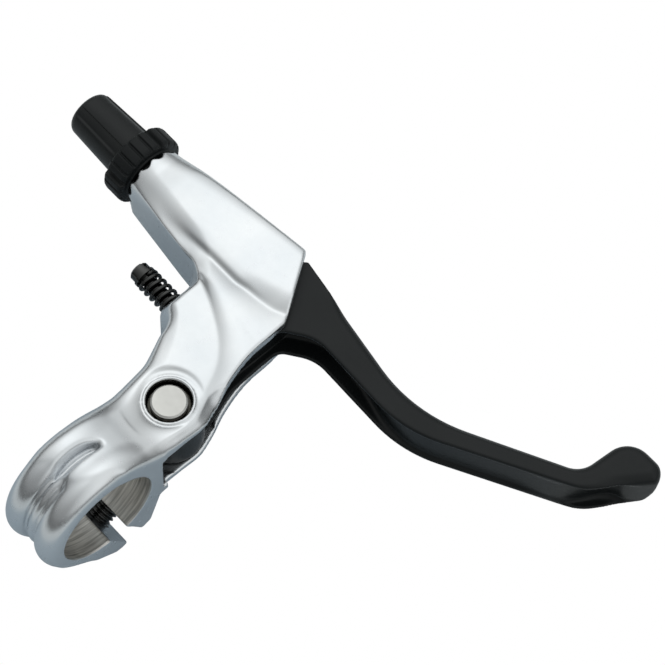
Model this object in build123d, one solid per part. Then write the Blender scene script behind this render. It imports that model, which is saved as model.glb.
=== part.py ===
from build123d import *
import math
import os

# A bicycle brake lever for the right hand. Sizes are in millimetres.
# The origin is the centre of the handlebar clamp. X runs along the handlebar towards its end,
# Y points forwards, away from the rider, and Z points up, along the lever's pivot.

# Handlebar clamp: a split band with two rounded ridges, a groove and a low bead between them
BAR_RADIUS = 11.1
CLAMP_WIDTH = 15.5
EDGE_WALL = 1.8
RIDGE_WALL = 4.3
RIDGE_OFFSET = 4.5
GROOVE_WALL = 2.8
GROOVE_OFFSET = 1.4
BEAD_WALL = 3.2
BAND_SHIFT_Y = 0.1
BAND_SHIFT_Z = 0.5
SLOT_GAP = 4.0
SLOT_TILT = 30.0
SLOT_OFFSET = -3.5
JAW_DEPTH = 7.5
REAR_JAW = 3.6
REAR_JAW_BEVEL = 2.2
REAR_JAW_STEP = 1.0
FRONT_JAW = 7.4
FRONT_JAW_DROP = 1.4
FRONT_JAW_TIP = 2.6
JAW_FLARE = 4.0
JAW_ROUND = 3.0
JAW_SIDE_ROUND = 2.0
JAW_TIP_ROUND = 1.0

# Clamp bolt across the slot
BOLT_RADIUS = 2.95
BOLT_CLEARANCE = 0.05
BOLT_BELOW_BAR = 4.2
BOLT_HEAD_RADIUS = 4.75
BOLT_HEAD_HEIGHT = 3.4
BOLT_HEAD_CHAMFER = 0.7
BOLT_SEAT_WALL = 2.0
BOLT_SEAT_CLEARANCE = 0.35
BOLT_END_SINK = 1.0
BOLT_SOCKET = 5.0
BOLT_SOCKET_DEPTH = 2.2

# Pivot: pin, bushes, washer and clip
PIVOT_X = -0.6
PIVOT_AHEAD = 12.0
PIVOT_TOP = 9.0
PIVOT_FACE_RADIUS = 7.5
PIVOT_RECESS_RADIUS = 4.9
PIVOT_RECESS_DEPTH = 1.7
LOWER_FACE_PROUD = 0.2
PIN_HEAD_RADIUS = 3.75
PIN_HEAD_SINK = 0.1
PIN_RADIUS = 3.0
PIN_FIT = 0.01
PIN_CHAMFER = 0.35
BUSH_WALL = 1.0
BUSH_FLANGE = 0.6
BUSH_FLANGE_WIDTH = 1.2
BUSH_PROUD = 0.2
BUSH_RUNNING = 0.03
BUSH_SPACE = 1.0
FLANGE_CLEARANCE = 0.1
WASHER_RADIUS = 5.0
WASHER_THICKNESS = 0.6
WASHER_CLEARANCE = 0.1
CLIP_RADIUS = 4.6
CLIP_THICKNESS = 0.7
CLIP_GROOVE_DEPTH = 0.7
CLIP_CLEARANCE = 0.02
CLIP_RELIEF = 1.0
CLIP_PRONG = 1.6
CLIP_MOUTH = 3.4
PIN_LAND = 1.0

# Bracket: arm, cheeks and cable tunnel
ARM_TOP = 9.2
ARM_BOTTOM = -7.6
ARM_START = -3.0
ARM_SIDE = 0.2
ARM_SWELL = 2.6
ARM_BEND_ROUND = 20.0
ARM_WAIST_ROUND = 10.0
ARM_ROUND = 2.0
ARM_LOWER_ROUND = 1.5
LUG_ROUND = 3.2
LUG_HALF = 4.6
LUG_CORNER = 7.8
LUG_CORNER_ROUND = 5.0
TOP_TILT = 2.5
SHOULDER_TOP = 14.2
SHOULDER_FALL = 1.5
SHOULDER_FOOT = 1.0
CAVITY_HALF = 5.7
SPOT_FACE = 0.3
SPOT_FACE_RADIUS = 8.8
HUB_CLEARANCE = 0.6
CHEEK_MIDDLE = 4.5
CHEEK_MIDDLE_AHEAD = 11.6
CHEEK_NECK = 2.5
CHEEK_ROUND = 1.6
LOWER_CHEEK_INSET = 1.0
HEAD_CORNER = 1.8
HEAD_CORNER_BACK = 4.8
HEAD_BOW = 2.1
HEAD_FRONT = 8.7
HEAD_WALL = 1.7
HEAD_WIDENING = 4.1
CABLE_AHEAD = 33.9
BOSS_RADIUS = 6.7
BOSS_END = -45.3
BOSS_SCALLOPS = 12
SCALLOP_RADIUS = 1.25
HEAD_END = 6.0
NOSE_INSET = 0.3
NOSE_FLARE = 0.25
BACK_WALL_LEAN = 6.3
TUNNEL_TOP = 8.9
TUNNEL_BOTTOM = -8.0
TUNNEL_FALL = 1.3
TUNNEL_ROUND = 2.6
CABLE_SLOT = 2.4
CABLE_WAY_RADIUS = 2.3
VALLEY_BACK = 5.4
VALLEY_DEPTH = 1.7
VALLEY_ROUND = 1.6
VALLEY_STEEP = 1.0
VALLEY_GENTLE = 0.33
VALLEY_TURN = 0.068
VALLEY_DIP = 0.042
FLUTE_CENTRE_X = -18.5
FLUTE_CENTRE_BACK = 5.5
FLUTE_DEPTH = 0.6
FLUTE_PITCH = 0.085
FLUTE_ROLL = 0.045
FLUTE_RADIUS = 9.0
FLUTE_SWEEP_RADIUS = 29.2
FLUTE_START = 28.0
FLUTE_SWEEP = 84.0
CAVITY_ROUND = 4.0
CAVITY_CORNER = 3.8
HUB_ROOM_AHEAD = 6.0
HUB_ROOM_ROUND = 3.0
WINDOW_WIDTH = 12.6
WINDOW_AHEAD = 0.7

# Lever blade
LEVER_HALF = 5.4
HUB_RADIUS = 7.0
HUB_PROUD = 0.35
LEVER_BACK_GAP = 1.8
ROOT_GAP = 0.3
ROOT_X = -6.9
ROOT_STEP = 2.0
ROOT_ROUND = 4.0
BLADE_ROUND = 2.8
HOOK_X = 0.8
HOOK_BACK = 6.0
HOOK_ROUND = 3.0
BACK_X = 7.0
BACK_OFFSET = 1.6
ARM_JOIN = 6.6
ARM_INSET = 0.4
ARM_NECK_OUT = 1.8
ARM_NECK_BACK = 2.5
ARM_NECK_ROUND = 12.0
BEND_X = 32.5
BEND_Y = 57.0
BEND_HALF = 2.4
BEND_SLANT = 0.85
BEND_RADIUS = 32.0
TIP_X = 69.8
TIP_Y = 82.2
TIP_RADIUS = 5.8
TIP_END = 5.3
TIP_SIDE = 2.4
TIP_END_ROUND = 3.2
TIP_FRONT_ROUND = 5.4
TIP_NECK = 6.9
TIP_NECK_ROUND = 5.0
HEEL_IN = 3.2
HEEL_BACK = 9.6
HEEL_ROUND = 10.0
PANEL_DEPTH = 1.0
PANEL_HALF = 4.4
RECESS_START = 1.6
RECESS_DEPTH = 4.2
RECESS_ROUND = 1.5
POCKET_HALF = 4.2
POCKET_END = 3.5
POCKET_IN = 2.2
NIPPLE_X = -5.0
NIPPLE_RADIUS = 3.6
NIPPLE_CEILING = 3.0
NIPPLE_ROOM = 0.4
CABLE_NOTCH = 2.0

# Reach screw and its spring
REACH_AHEAD = 17.3
REACH_SEAT_X = -18.9
REACH_WALL = 4.5
REACH_SPRING_LENGTH = 9.0
REACH_TIP_GAP = 0.1
REACH_RADIUS = 1.5
REACH_FIT = 0.05
REACH_FLANGE_RADIUS = 2.5
REACH_FLANGE = 0.7
REACH_HEAD_RADIUS = 2.2
REACH_HEAD = 2.0
REACH_CHAMFER = 0.4
REACH_SLOT = 0.8
REACH_SLOT_DEPTH = 1.2
REACH_SLOT_TURN = 55.0
SPRING_WIRE_RADIUS = 0.4
SPRING_CLEARANCE = 0.37
SPRING_COILS = 5
SPRING_SIDES = 4

# Cable adjuster
ADJUSTER_RADIUS = 4.9
ADJUSTER_FIT = 0.08
ADJUSTER_IN = 9.0
ADJUSTER_END_ROOM = 1.0
RING_RADIUS = 8.4
RING_LENGTH = 5.2
RING_CHAMFER = 0.5
RING_FLANGE = 1.3
RING_FLANGE_STEP = 0.3
RING_GAP = 0.3
RING_LOBES = 4
LOBE_GROOVES = 4
RING_GROOVE_WIDTH = 0.6
RING_GROOVE_DEPTH = 0.4
RING_NOTCH_WIDTH = 1.5
RING_NOTCH_DEPTH = 1.1
RING_NOTCH_TURN = -25.0
BARREL_BASE_RADIUS = 5.4
BARREL_TIP_RADIUS = 5.0
BARREL_LENGTH = 13.6
BARREL_GAP = 0.4
BARREL_ROUND = 1.8
HOUSING_RADIUS = 2.6
HOUSING_DEPTH = 10.0
CABLE_RADIUS = 1.3
BARREL_FLAT = 2.3
BARREL_FLAT_DEPTH = 0.4
BARREL_FLAT_TURN = 33.0

# Places worked out from the sizes above
FAR = 60.0
TILT = math.radians(SLOT_TILT)
BOLT_AXIS = (0, math.cos(TILT), math.sin(TILT))
SLOT_AXIS = (0, math.sin(TILT), -math.cos(TILT))
JAW_PLANE = Plane(origin=(0, 0, 0), x_dir=BOLT_AXIS, z_dir=(1, 0, 0))
REAR_SLOT_FACE = SLOT_OFFSET - SLOT_GAP / 2
FRONT_SLOT_FACE = SLOT_OFFSET + SLOT_GAP / 2
JAW_REACH = BAR_RADIUS + JAW_DEPTH
BOLT_REACH = BAR_RADIUS + BOLT_BELOW_BAR
BOLT_SEAT = REAR_SLOT_FACE - BOLT_SEAT_WALL
BOLT_HOLE_LENGTH = FRONT_SLOT_FACE + FRONT_JAW + BOLT_END_SINK - BOLT_SEAT
BOLT_LENGTH = BOLT_HOLE_LENGTH - 2 * BOLT_END_SINK
PIVOT_Y = BAR_RADIUS + PIVOT_AHEAD
CABLE_Y = PIVOT_Y + CABLE_AHEAD
REACH_Y = PIVOT_Y + REACH_AHEAD
PIVOT_FLOOR = PIVOT_TOP - PIVOT_RECESS_DEPTH
LOWER_FACE = ARM_BOTTOM - LOWER_FACE_PROUD
WASHER_BOTTOM = LOWER_FACE - WASHER_THICKNESS
CLIP_BOTTOM = WASHER_BOTTOM - CLIP_THICKNESS
CLIP_GROOVE_RADIUS = PIN_RADIUS - CLIP_GROOVE_DEPTH
CHEEK_INNER = CAVITY_HALF + SPOT_FACE
HUB_HALF = LEVER_HALF + HUB_PROUD
BUSH_FACE = HUB_HALF + BUSH_PROUD
BUSH_SHOULDER = BUSH_FACE - BUSH_FLANGE
CAVITY_LEFT = REACH_SEAT_X + REACH_WALL
CAVITY_FRONT = CABLE_Y + BOSS_RADIUS + HEAD_WIDENING - HEAD_WALL
LEVER_LEFT = CAVITY_LEFT + LEVER_BACK_GAP
REACH_UNDER_HEAD = REACH_SEAT_X - REACH_SPRING_LENGTH
REACH_HEAD_END = REACH_UNDER_HEAD - REACH_FLANGE - REACH_HEAD
RING_START = BOSS_END - RING_GAP
RING_BACK = RING_START - RING_FLANGE
RING_END = RING_BACK - RING_LENGTH
BARREL_BASE = RING_END - BARREL_GAP
BARREL_TIP = BARREL_BASE - BARREL_LENGTH


def rounded_polygon(corners):
    """A flat face from (x, y, corner radius) triples, with each named corner rounded."""
    face = make_face(Polyline(*[(x, y) for x, y, _ in corners], close=True))
    for x, y, radius in corners:
        if radius > 0:
            corner = face.vertices().sort_by_distance((x, y, 0))[0]
            face = fillet(corner, radius)
    return face


def upright(face, half_height):
    """Extrudes a plan face equally above and below the middle plane."""
    return extrude(face, amount=half_height, both=True)


def along_x(radius, start, end, y=0.0, z=0.0):
    """A cylinder parallel to the handlebar, from start to end."""
    turned = Plane(origin=(start, y, z), z_dir=(1, 0, 0))
    return extrude(turned * Circle(radius), amount=end - start)


def along_z(radius, bottom, top, x=PIVOT_X, y=PIVOT_Y):
    """A cylinder parallel to the pivot, from bottom to top."""
    return extrude(Plane.XY.offset(bottom) * Pos(x, y) * Circle(radius), amount=top - bottom)


def bolt_plane(along):
    """The plane across the clamp bolt at a distance along its axis."""
    origin = [along * b + BOLT_REACH * s for b, s in zip(BOLT_AXIS, SLOT_AXIS)]
    return Plane(origin=origin, z_dir=BOLT_AXIS)


def clamp_band():
    """The ridged band round the handlebar, turned from one profile, with its two jaws."""
    half = CLAMP_WIDTH / 2
    edge = BAR_RADIUS + EDGE_WALL
    ridge = BAR_RADIUS + RIDGE_WALL
    groove = BAR_RADIUS + GROOVE_WALL
    crown = [
        ThreePointArc((-half, edge), (-RIDGE_OFFSET, ridge), (-GROOVE_OFFSET, groove)),
        ThreePointArc((-GROOVE_OFFSET, groove), (0, BAR_RADIUS + BEAD_WALL), (GROOVE_OFFSET, groove)),
        ThreePointArc((GROOVE_OFFSET, groove), (RIDGE_OFFSET, ridge), (half, edge)),
    ]
    inside = BAR_RADIUS / 2
    sides = Polyline((half, edge), (half, inside), (-half, inside), (-half, edge))
    behind = Plane(origin=(0, 0, 0), x_dir=(1, 0, 0), z_dir=(0, 0, -1))
    profile = behind * make_face(crown + [sides])
    band = Pos(0, BAND_SHIFT_Y, BAND_SHIFT_Z) * revolve(profile, axis=Axis.X)
    rear = REAR_SLOT_FACE - REAR_JAW
    front = FRONT_SLOT_FACE + FRONT_JAW
    jaws = rounded_polygon([
        (rear - JAW_FLARE, 0, 0),
        (rear - JAW_FLARE / 2, JAW_ROUND - BOLT_REACH, JAW_ROUND),
        (rear + JAW_FLARE / 8, REAR_JAW_STEP - JAW_REACH, JAW_TIP_ROUND),
        (rear + REAR_JAW_BEVEL, -JAW_REACH, JAW_TIP_ROUND),
        (FRONT_SLOT_FACE + FRONT_JAW_TIP, -JAW_REACH - FRONT_JAW_DROP, JAW_TIP_ROUND),
        (front - JAW_TIP_ROUND, -BOLT_REACH - FRONT_JAW_DROP, JAW_ROUND),
        (front + JAW_FLARE, JAW_ROUND - BOLT_REACH, JAW_SIDE_ROUND),
        (front + JAW_FLARE, 0, 0),
    ])
    jaw_block = extrude(JAW_PLANE * jaws, amount=half, both=True)
    return band + jaw_block


def inboard_edges(body):
    """The edges on the inboard side of the arm, from the clamp to the reach screw's lug."""
    return [e for e in body.edges() if e.center().X < -CLAMP_WIDTH / 2 and e.center().Y < CABLE_Y - LUG_CORNER]


def arm():
    """The arm from the clamp to the head: a plan outline crossed with a side profile, edges rounded."""
    left = -CLAMP_WIDTH / 2 - ARM_SIDE
    plan = rounded_polygon([
        (left, ARM_START, 0),
        (left - ARM_SWELL / 2, PIVOT_Y - PIVOT_FACE_RADIUS, ARM_BEND_ROUND),
        (left - ARM_SWELL, PIVOT_Y + ARM_ROUND, ARM_WAIST_ROUND),
        (CAVITY_LEFT + ARM_SIDE, REACH_Y - LUG_HALF - ARM_ROUND, LUG_HALF),
        (REACH_SEAT_X, REACH_Y - LUG_HALF, LUG_ROUND),
        (REACH_SEAT_X, REACH_Y + LUG_CORNER, LUG_CORNER_ROUND),
        (-FAR / 2, REACH_Y + LUG_CORNER + ARM_ROUND / 2, 0),
        (-FAR / 2, CABLE_Y - BOSS_RADIUS, 0),
        (FAR / 4, CABLE_Y - BOSS_RADIUS / 2, 0),
        (FAR / 4, PIVOT_Y, 0),
        (CLAMP_WIDTH / 2, BAR_RADIUS - ARM_ROUND, 0),
        (CLAMP_WIDTH / 2, ARM_START, 0),
    ])
    crown = PIVOT_Y + PIVOT_RECESS_RADIUS
    top = Spline(
        (ARM_START, SHOULDER_TOP),
        (PIVOT_Y - 2 * PIVOT_FACE_RADIUS, SHOULDER_TOP - SHOULDER_FALL),
        (PIVOT_Y - PIVOT_FACE_RADIUS, ARM_TOP + SHOULDER_FOOT),
        (crown, ARM_TOP),
        tangents=[(1, 0), (1, 0)],
    )
    rest = Polyline((crown, ARM_TOP), (FAR, ARM_TOP), (FAR, -FAR), (ARM_START, -FAR), (ARM_START, SHOULDER_TOP))
    tilt = math.radians(TOP_TILT)
    side = extrude(Plane.YZ * make_face([top, rest]), amount=FAR, dir=(math.cos(tilt), 0, -math.sin(tilt)), both=True)
    body = extrude(Plane.XY.offset(ARM_BOTTOM) * plan, amount=FAR) & side
    upper = [e for e in inboard_edges(body) if e.center().Z > ARM_TOP]
    body = fillet(upper, ARM_ROUND)
    lower = [e for e in inboard_edges(body) if abs(e.center().Z - ARM_BOTTOM) < 0.01]
    return fillet(lower, ARM_LOWER_ROUND)


def cable_tunnel():
    """The head: a box that widens towards the blade, long top edges rounded, and a round nose at the adjuster."""
    near = CABLE_Y - BOSS_RADIUS + NOSE_INSET
    far = CABLE_Y + BOSS_RADIUS - NOSE_INSET
    plan = Polyline(
        (BOSS_END, near),
        (HEAD_END, near - BACK_WALL_LEAN),
        (HEAD_END, CABLE_Y + BOSS_RADIUS + HEAD_WIDENING),
        (BOSS_END, far),
        close=True,
    )
    side = Polyline(
        (BOSS_END, TUNNEL_TOP - TUNNEL_FALL),
        (HEAD_END, TUNNEL_TOP),
        (HEAD_END, TUNNEL_BOTTOM),
        (BOSS_END, TUNNEL_BOTTOM),
        close=True,
    )
    box = upright(make_face(plan), FAR) & extrude(Plane.XZ * make_face(side), amount=2 * FAR, both=True)
    ridges = [e for e in box.edges() if e.center().Z > 0 and abs(e.center().Y - CABLE_Y) > BOSS_RADIUS]
    box = fillet(ridges, TUNNEL_ROUND)
    length = HEAD_END - BOSS_END
    nose = Plane(origin=(BOSS_END, CABLE_Y, 0), z_dir=(1, 0, 0)) * Cone(
        BOSS_RADIUS,
        BOSS_RADIUS + NOSE_FLARE * length,
        length,
        align=(Align.CENTER, Align.CENTER, Align.MIN),
    )
    lower_half = Box(4 * FAR, 4 * FAR, FAR, align=(Align.CENTER, Align.CENTER, Align.MAX))
    return (box & nose) + (box & lower_half)


def outboard_trim():
    """What is cut away outboard of the cheeks; the lower cheek is set back a little."""
    corner = (PIVOT_X + HEAD_CORNER, CABLE_Y - HEAD_CORNER_BACK)
    front = (PIVOT_X - HEAD_FRONT, CABLE_Y + BOSS_RADIUS + HEAD_WIDENING)
    middle = (PIVOT_X - HEAD_BOW, CABLE_Y + HEAD_BOW)
    foot = (FAR, PIVOT_Y - PIVOT_FACE_RADIUS)
    cheek = Spline(
        corner,
        (PIVOT_X + CHEEK_NECK, REACH_Y + HEAD_BOW),
        (PIVOT_X + CHEEK_MIDDLE, PIVOT_Y + CHEEK_MIDDLE_AHEAD),
        (CLAMP_WIDTH / 2, PIVOT_Y + CHEEK_ROUND),
        tangents=[(0, -1), (0, -1)],
    )
    side = Polyline(cheek @ 1, (CLAMP_WIDTH / 2, foot[1]), foot, (FAR, 2 * FAR), (front[0], 2 * FAR), front)
    plan = make_face([ThreePointArc(front, middle, corner), cheek, side])
    lower = Pos(-LOWER_CHEEK_INSET, 0, 0) * extrude(plan, amount=-FAR)
    return extrude(plan, amount=FAR) + lower


def valley():
    """The valley between the cable tunnel and the arm: a steep side and a gentle side, deeper outboard."""
    ahead = BOSS_RADIUS
    behind = 3 * BOSS_RADIUS
    section = rounded_polygon([
        (ahead, ahead * VALLEY_STEEP, 0),
        (ahead, behind, 0),
        (-behind, behind, 0),
        (-behind, behind * VALLEY_GENTLE, 0),
        (0, 0, VALLEY_ROUND),
    ])
    bottom = (PIVOT_X, CABLE_Y - VALLEY_BACK, TUNNEL_TOP - VALLEY_DEPTH)
    run = Vector(1.0, VALLEY_TURN, -VALLEY_DIP).normalized()
    across = Plane(origin=bottom, x_dir=(-VALLEY_TURN, 1.0, 0), z_dir=run)
    return extrude(across * section, amount=FAR, both=True)


def flute():
    """The shallow flute on the arm's top, from the inner corner round to the outboard cheek edge."""
    centre = (FLUTE_CENTRE_X, PIVOT_Y - FLUTE_CENTRE_BACK, ARM_TOP + FLUTE_RADIUS - FLUTE_DEPTH)
    plunge = Plane(origin=centre, x_dir=(1.0, 0, -FLUTE_PITCH), z_dir=(FLUTE_PITCH, -FLUTE_ROLL, 1.0))
    bow = Torus(FLUTE_SWEEP_RADIUS, FLUTE_RADIUS, major_angle=FLUTE_SWEEP, align=None)
    return plunge * Rot(0, 0, FLUTE_START) * bow


def lever_space():
    """The slot between the cheeks, open outboard and beside the hub, in which the lever swings."""
    hub_room = HUB_RADIUS + HUB_CLEARANCE
    floor = PIVOT_Y - hub_room
    left = PIVOT_X - hub_room
    room = rounded_polygon([
        (FAR, floor, 0),
        (PIVOT_X, floor, 0),
        (PIVOT_X, PIVOT_Y, 0),
        (left, PIVOT_Y, 0),
        (left, PIVOT_Y + HUB_ROOM_AHEAD, HUB_ROOM_ROUND),
        (CAVITY_LEFT, REACH_Y - LEVER_BACK_GAP - REACH_RADIUS, HUB_ROOM_ROUND),
        (CAVITY_LEFT, CABLE_Y + LEVER_BACK_GAP, CAVITY_ROUND),
        (CAVITY_LEFT + CAVITY_CORNER, CAVITY_FRONT, CAVITY_ROUND / 2),
        (FAR, CAVITY_FRONT, 0),
    ])
    window = Pos(PIVOT_X - FAR / 2, PIVOT_Y + WINDOW_AHEAD) * Rectangle(FAR, WINDOW_WIDTH)
    slot = upright(room, CAVITY_HALF) + upright(window, CAVITY_HALF)
    slot += along_z(hub_room, -CAVITY_HALF, CAVITY_HALF)
    return slot + along_z(SPOT_FACE_RADIUS, -CHEEK_INNER, CHEEK_INNER)


def bracket_body():
    """The whole bracket, one piece."""
    body = clamp_band() + arm() + cable_tunnel()
    body = body - outboard_trim() - valley() - flute()
    body -= Pos(CLAMP_WIDTH / 2, 0, 0) * Box(FAR, 4 * FAR, 4 * FAR, align=(Align.MIN, Align.CENTER, Align.CENTER))
    body += along_z(PIVOT_FACE_RADIUS, LOWER_FACE, PIVOT_TOP)
    body -= along_z(PIVOT_FACE_RADIUS, PIVOT_TOP, FAR)
    body -= along_x(BAR_RADIUS, -FAR, FAR)
    gap = Pos(SLOT_OFFSET, -FAR / 2) * Rectangle(SLOT_GAP, FAR)
    body -= extrude(JAW_PLANE * gap, amount=FAR, both=True)
    body -= lever_space()
    body -= along_z(PIVOT_RECESS_RADIUS, PIVOT_FLOOR, FAR)
    body -= along_z(PIN_RADIUS + PIN_FIT, -FAR, FAR)
    body -= extrude(bolt_plane(BOLT_SEAT) * Circle(BOLT_RADIUS + BOLT_CLEARANCE), amount=BOLT_HOLE_LENGTH)
    body -= extrude(bolt_plane(BOLT_SEAT) * Circle(BOLT_HEAD_RADIUS + BOLT_SEAT_CLEARANCE), amount=-FAR)
    body -= along_x(REACH_RADIUS + REACH_FIT, -FAR, PIVOT_X, REACH_Y)
    thread_end = BOSS_END + ADJUSTER_IN + ADJUSTER_END_ROOM
    body -= along_x(ADJUSTER_RADIUS + ADJUSTER_FIT, -FAR, thread_end, CABLE_Y)
    body -= along_x(CABLE_WAY_RADIUS, BOSS_END, CAVITY_LEFT + CAVITY_CORNER, CABLE_Y)
    slot = Box(FAR, CABLE_SLOT, FAR, align=(Align.MAX, Align.CENTER, Align.MAX))
    body -= Pos(NIPPLE_X, CABLE_Y, 0) * slot
    body -= along_z(NIPPLE_RADIUS + NIPPLE_ROOM, -FAR, 0, NIPPLE_X, CABLE_Y)
    for index in range(BOSS_SCALLOPS):
        turn = math.radians((index + 0.5) * 360 / BOSS_SCALLOPS)
        facing = Plane(origin=(BOSS_END, CABLE_Y, 0), z_dir=(0, math.sin(turn), math.cos(turn)))
        body -= extrude(facing.offset(ADJUSTER_RADIUS) * Circle(SCALLOP_RADIUS), amount=BOSS_RADIUS)
    return body


def clamp_bolt():
    """The socket screw that closes the clamp."""
    shank = extrude(bolt_plane(BOLT_SEAT) * Circle(BOLT_RADIUS), amount=BOLT_LENGTH)
    head = extrude(bolt_plane(BOLT_SEAT) * Circle(BOLT_HEAD_RADIUS), amount=-BOLT_HEAD_HEIGHT)
    rims = head.edges().filter_by(GeomType.CIRCLE).sort_by(Axis.Y)
    head = chamfer(rims[0], BOLT_HEAD_CHAMFER)
    top = bolt_plane(BOLT_SEAT - BOLT_HEAD_HEIGHT)
    hexagon = RegularPolygon(BOLT_SOCKET / 2, 6, major_radius=False)
    return shank + head - extrude(top * hexagon, amount=BOLT_SOCKET_DEPTH)


def blade_outline():
    """The plan of the finger blade, from its root in the head to the rounded tip."""
    root = CAVITY_FRONT - ROOT_GAP
    return rounded_polygon([
        (ROOT_X, root, 0),
        (BEND_X - BEND_SLANT, BEND_Y + BEND_HALF, BEND_RADIUS + BEND_HALF),
        (TIP_X - TIP_NECK, TIP_Y - TIP_NECK, TIP_NECK_ROUND),
        (TIP_X - TIP_RADIUS, TIP_Y + TIP_RADIUS, TIP_FRONT_ROUND),
        (TIP_X + TIP_END, TIP_Y + TIP_RADIUS, TIP_END_ROUND),
        (TIP_X + TIP_END, TIP_Y + TIP_SIDE, 0),
        (TIP_X - HEEL_IN, TIP_Y - HEEL_BACK, HEEL_ROUND),
        (BEND_X + BEND_SLANT, BEND_Y - BEND_HALF, BEND_RADIUS - BEND_HALF),
        (BACK_X, CABLE_Y - BACK_OFFSET, ROOT_ROUND),
        (HOOK_X, CABLE_Y - HOOK_BACK, HOOK_ROUND),
        (HOOK_X, REACH_Y, 0),
        (LEVER_LEFT, REACH_Y, 0),
        (LEVER_LEFT, CABLE_Y, ROOT_ROUND),
        (LEVER_LEFT + CAVITY_CORNER, root - ROOT_STEP, ROOT_STEP / 2),
    ])


def lever_arm():
    """The plan of the arm inside the head, from the hub up to the blade's root."""
    half = HUB_RADIUS - ARM_INSET
    return rounded_polygon([
        (PIVOT_X - half, PIVOT_Y, 0),
        (PIVOT_X + half, PIVOT_Y, 0),
        (PIVOT_X + ARM_NECK_OUT, REACH_Y - ARM_NECK_BACK, ARM_NECK_ROUND),
        (HOOK_X, REACH_Y + ARM_JOIN, 0),
        (LEVER_LEFT, REACH_Y + ARM_JOIN, 0),
        (LEVER_LEFT, REACH_Y - ARM_NECK_BACK, ARM_NECK_ROUND / 2),
        (PIVOT_X - half, PIVOT_Y + half, ROOT_ROUND),
    ])


def lever_blade():
    """The lever: hub, arm and two-finger blade in one piece."""
    blade = upright(blade_outline(), LEVER_HALF)
    rims = [e for e in blade.edges() if abs(abs(e.center().Z) - LEVER_HALF) < ROOT_GAP / 2]
    front = [e for e in rims if e.center().Y > BEND_Y + BEND_HALF and 0.0 < e.center().X < BEND_X]
    blade = fillet(front, BLADE_ROUND)
    back = FilletPolyline(
        (BACK_X, CABLE_Y - BACK_OFFSET),
        (BEND_X + BEND_SLANT, BEND_Y - BEND_HALF),
        (TIP_X - TIP_RADIUS, TIP_Y - HEEL_BACK - PANEL_DEPTH),
        radius=BEND_RADIUS - BEND_HALF,
    )
    radius = (PANEL_HALF ** 2 + PANEL_DEPTH ** 2) / (2 * PANEL_DEPTH)
    start = Plane(origin=back @ 0, x_dir=(0, 1, 0), z_dir=back % 0)
    panel = sweep(start * Pos(PANEL_DEPTH - radius, 0) * Circle(radius), path=back)
    pocket = rounded_polygon([
        (TIP_X - TIP_RADIUS, TIP_Y - 2 * TIP_RADIUS, 0),
        (TIP_X + 2 * TIP_RADIUS, TIP_Y + TIP_RADIUS, 0),
        (TIP_X + POCKET_END, TIP_Y + POCKET_END, PANEL_DEPTH),
        (TIP_X - POCKET_IN, TIP_Y - POCKET_HALF, POCKET_HALF),
        (TIP_X - TIP_END, TIP_Y - HEEL_BACK, RECESS_ROUND),
    ])
    recess = rounded_polygon([
        (RECESS_START, REACH_Y, 0),
        (RECESS_START, CABLE_Y, RECESS_ROUND),
        (BEND_X / 4, CABLE_Y - BEND_HALF + RECESS_DEPTH + PANEL_DEPTH, RECESS_DEPTH),
        (BEND_X / 2, BEND_Y - BEND_HALF + RECESS_DEPTH, BEND_RADIUS / 2),
        (BEND_X, BEND_Y - BEND_HALF, 0),
        (BEND_X, REACH_Y, 0),
    ])
    lever = blade - panel - upright(pocket, POCKET_HALF) - upright(recess, PANEL_HALF)
    lever += upright(lever_arm(), LEVER_HALF)
    lever += along_z(HUB_RADIUS, -HUB_HALF, HUB_HALF)
    lever -= along_z(PIN_RADIUS + BUSH_WALL, -HUB_HALF, HUB_HALF)
    flange_room = PIN_RADIUS + BUSH_WALL + BUSH_FLANGE_WIDTH + FLANGE_CLEARANCE
    lever -= along_z(flange_room, BUSH_SHOULDER, FAR)
    lever -= along_z(flange_room, -FAR, -BUSH_SHOULDER)
    lever -= along_z(NIPPLE_RADIUS, -FAR, NIPPLE_CEILING, NIPPLE_X, CABLE_Y)
    cable_way = Box(FAR, CABLE_NOTCH, FAR, align=(Align.MAX, Align.CENTER, Align.MAX))
    return lever - Pos(NIPPLE_X, CABLE_Y, CABLE_NOTCH / 2) * cable_way


def bush(side):
    """A flanged bush: a sleeve pressed in the hub with a thrust flange next to the cheek."""
    outer = PIN_RADIUS + BUSH_WALL
    sleeve = along_z(outer, BUSH_SPACE / 2, BUSH_SHOULDER)
    flange = along_z(outer + BUSH_FLANGE_WIDTH, BUSH_SHOULDER, BUSH_FACE)
    whole = sleeve + flange - along_z(PIN_RADIUS + BUSH_RUNNING, -FAR, FAR)
    if side < 0:
        whole = mirror(whole, about=Plane.XY)
    return whole


def pivot_pin():
    """The pivot pin: a flat chamfered head in the recess, a plain shank and a clip groove."""
    head = along_z(PIN_HEAD_RADIUS, PIVOT_FLOOR, PIVOT_TOP - PIN_HEAD_SINK)
    head = chamfer(head.edges().group_by(Axis.Z)[-1], PIN_CHAMFER)
    shank = along_z(PIN_RADIUS, CLIP_BOTTOM - PIN_LAND, PIVOT_FLOOR)
    shank = chamfer(shank.edges().group_by(Axis.Z)[0], PIN_CHAMFER)
    groove = along_z(2 * PIN_RADIUS, CLIP_BOTTOM, WASHER_BOTTOM) - along_z(CLIP_GROOVE_RADIUS, -FAR, FAR)
    return head + shank - groove


def pivot_washer():
    """The flat washer between the lower cheek and the clip."""
    return along_z(WASHER_RADIUS, WASHER_BOTTOM, LOWER_FACE) - along_z(PIN_RADIUS + WASHER_CLEARANCE, -FAR, FAR)


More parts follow.
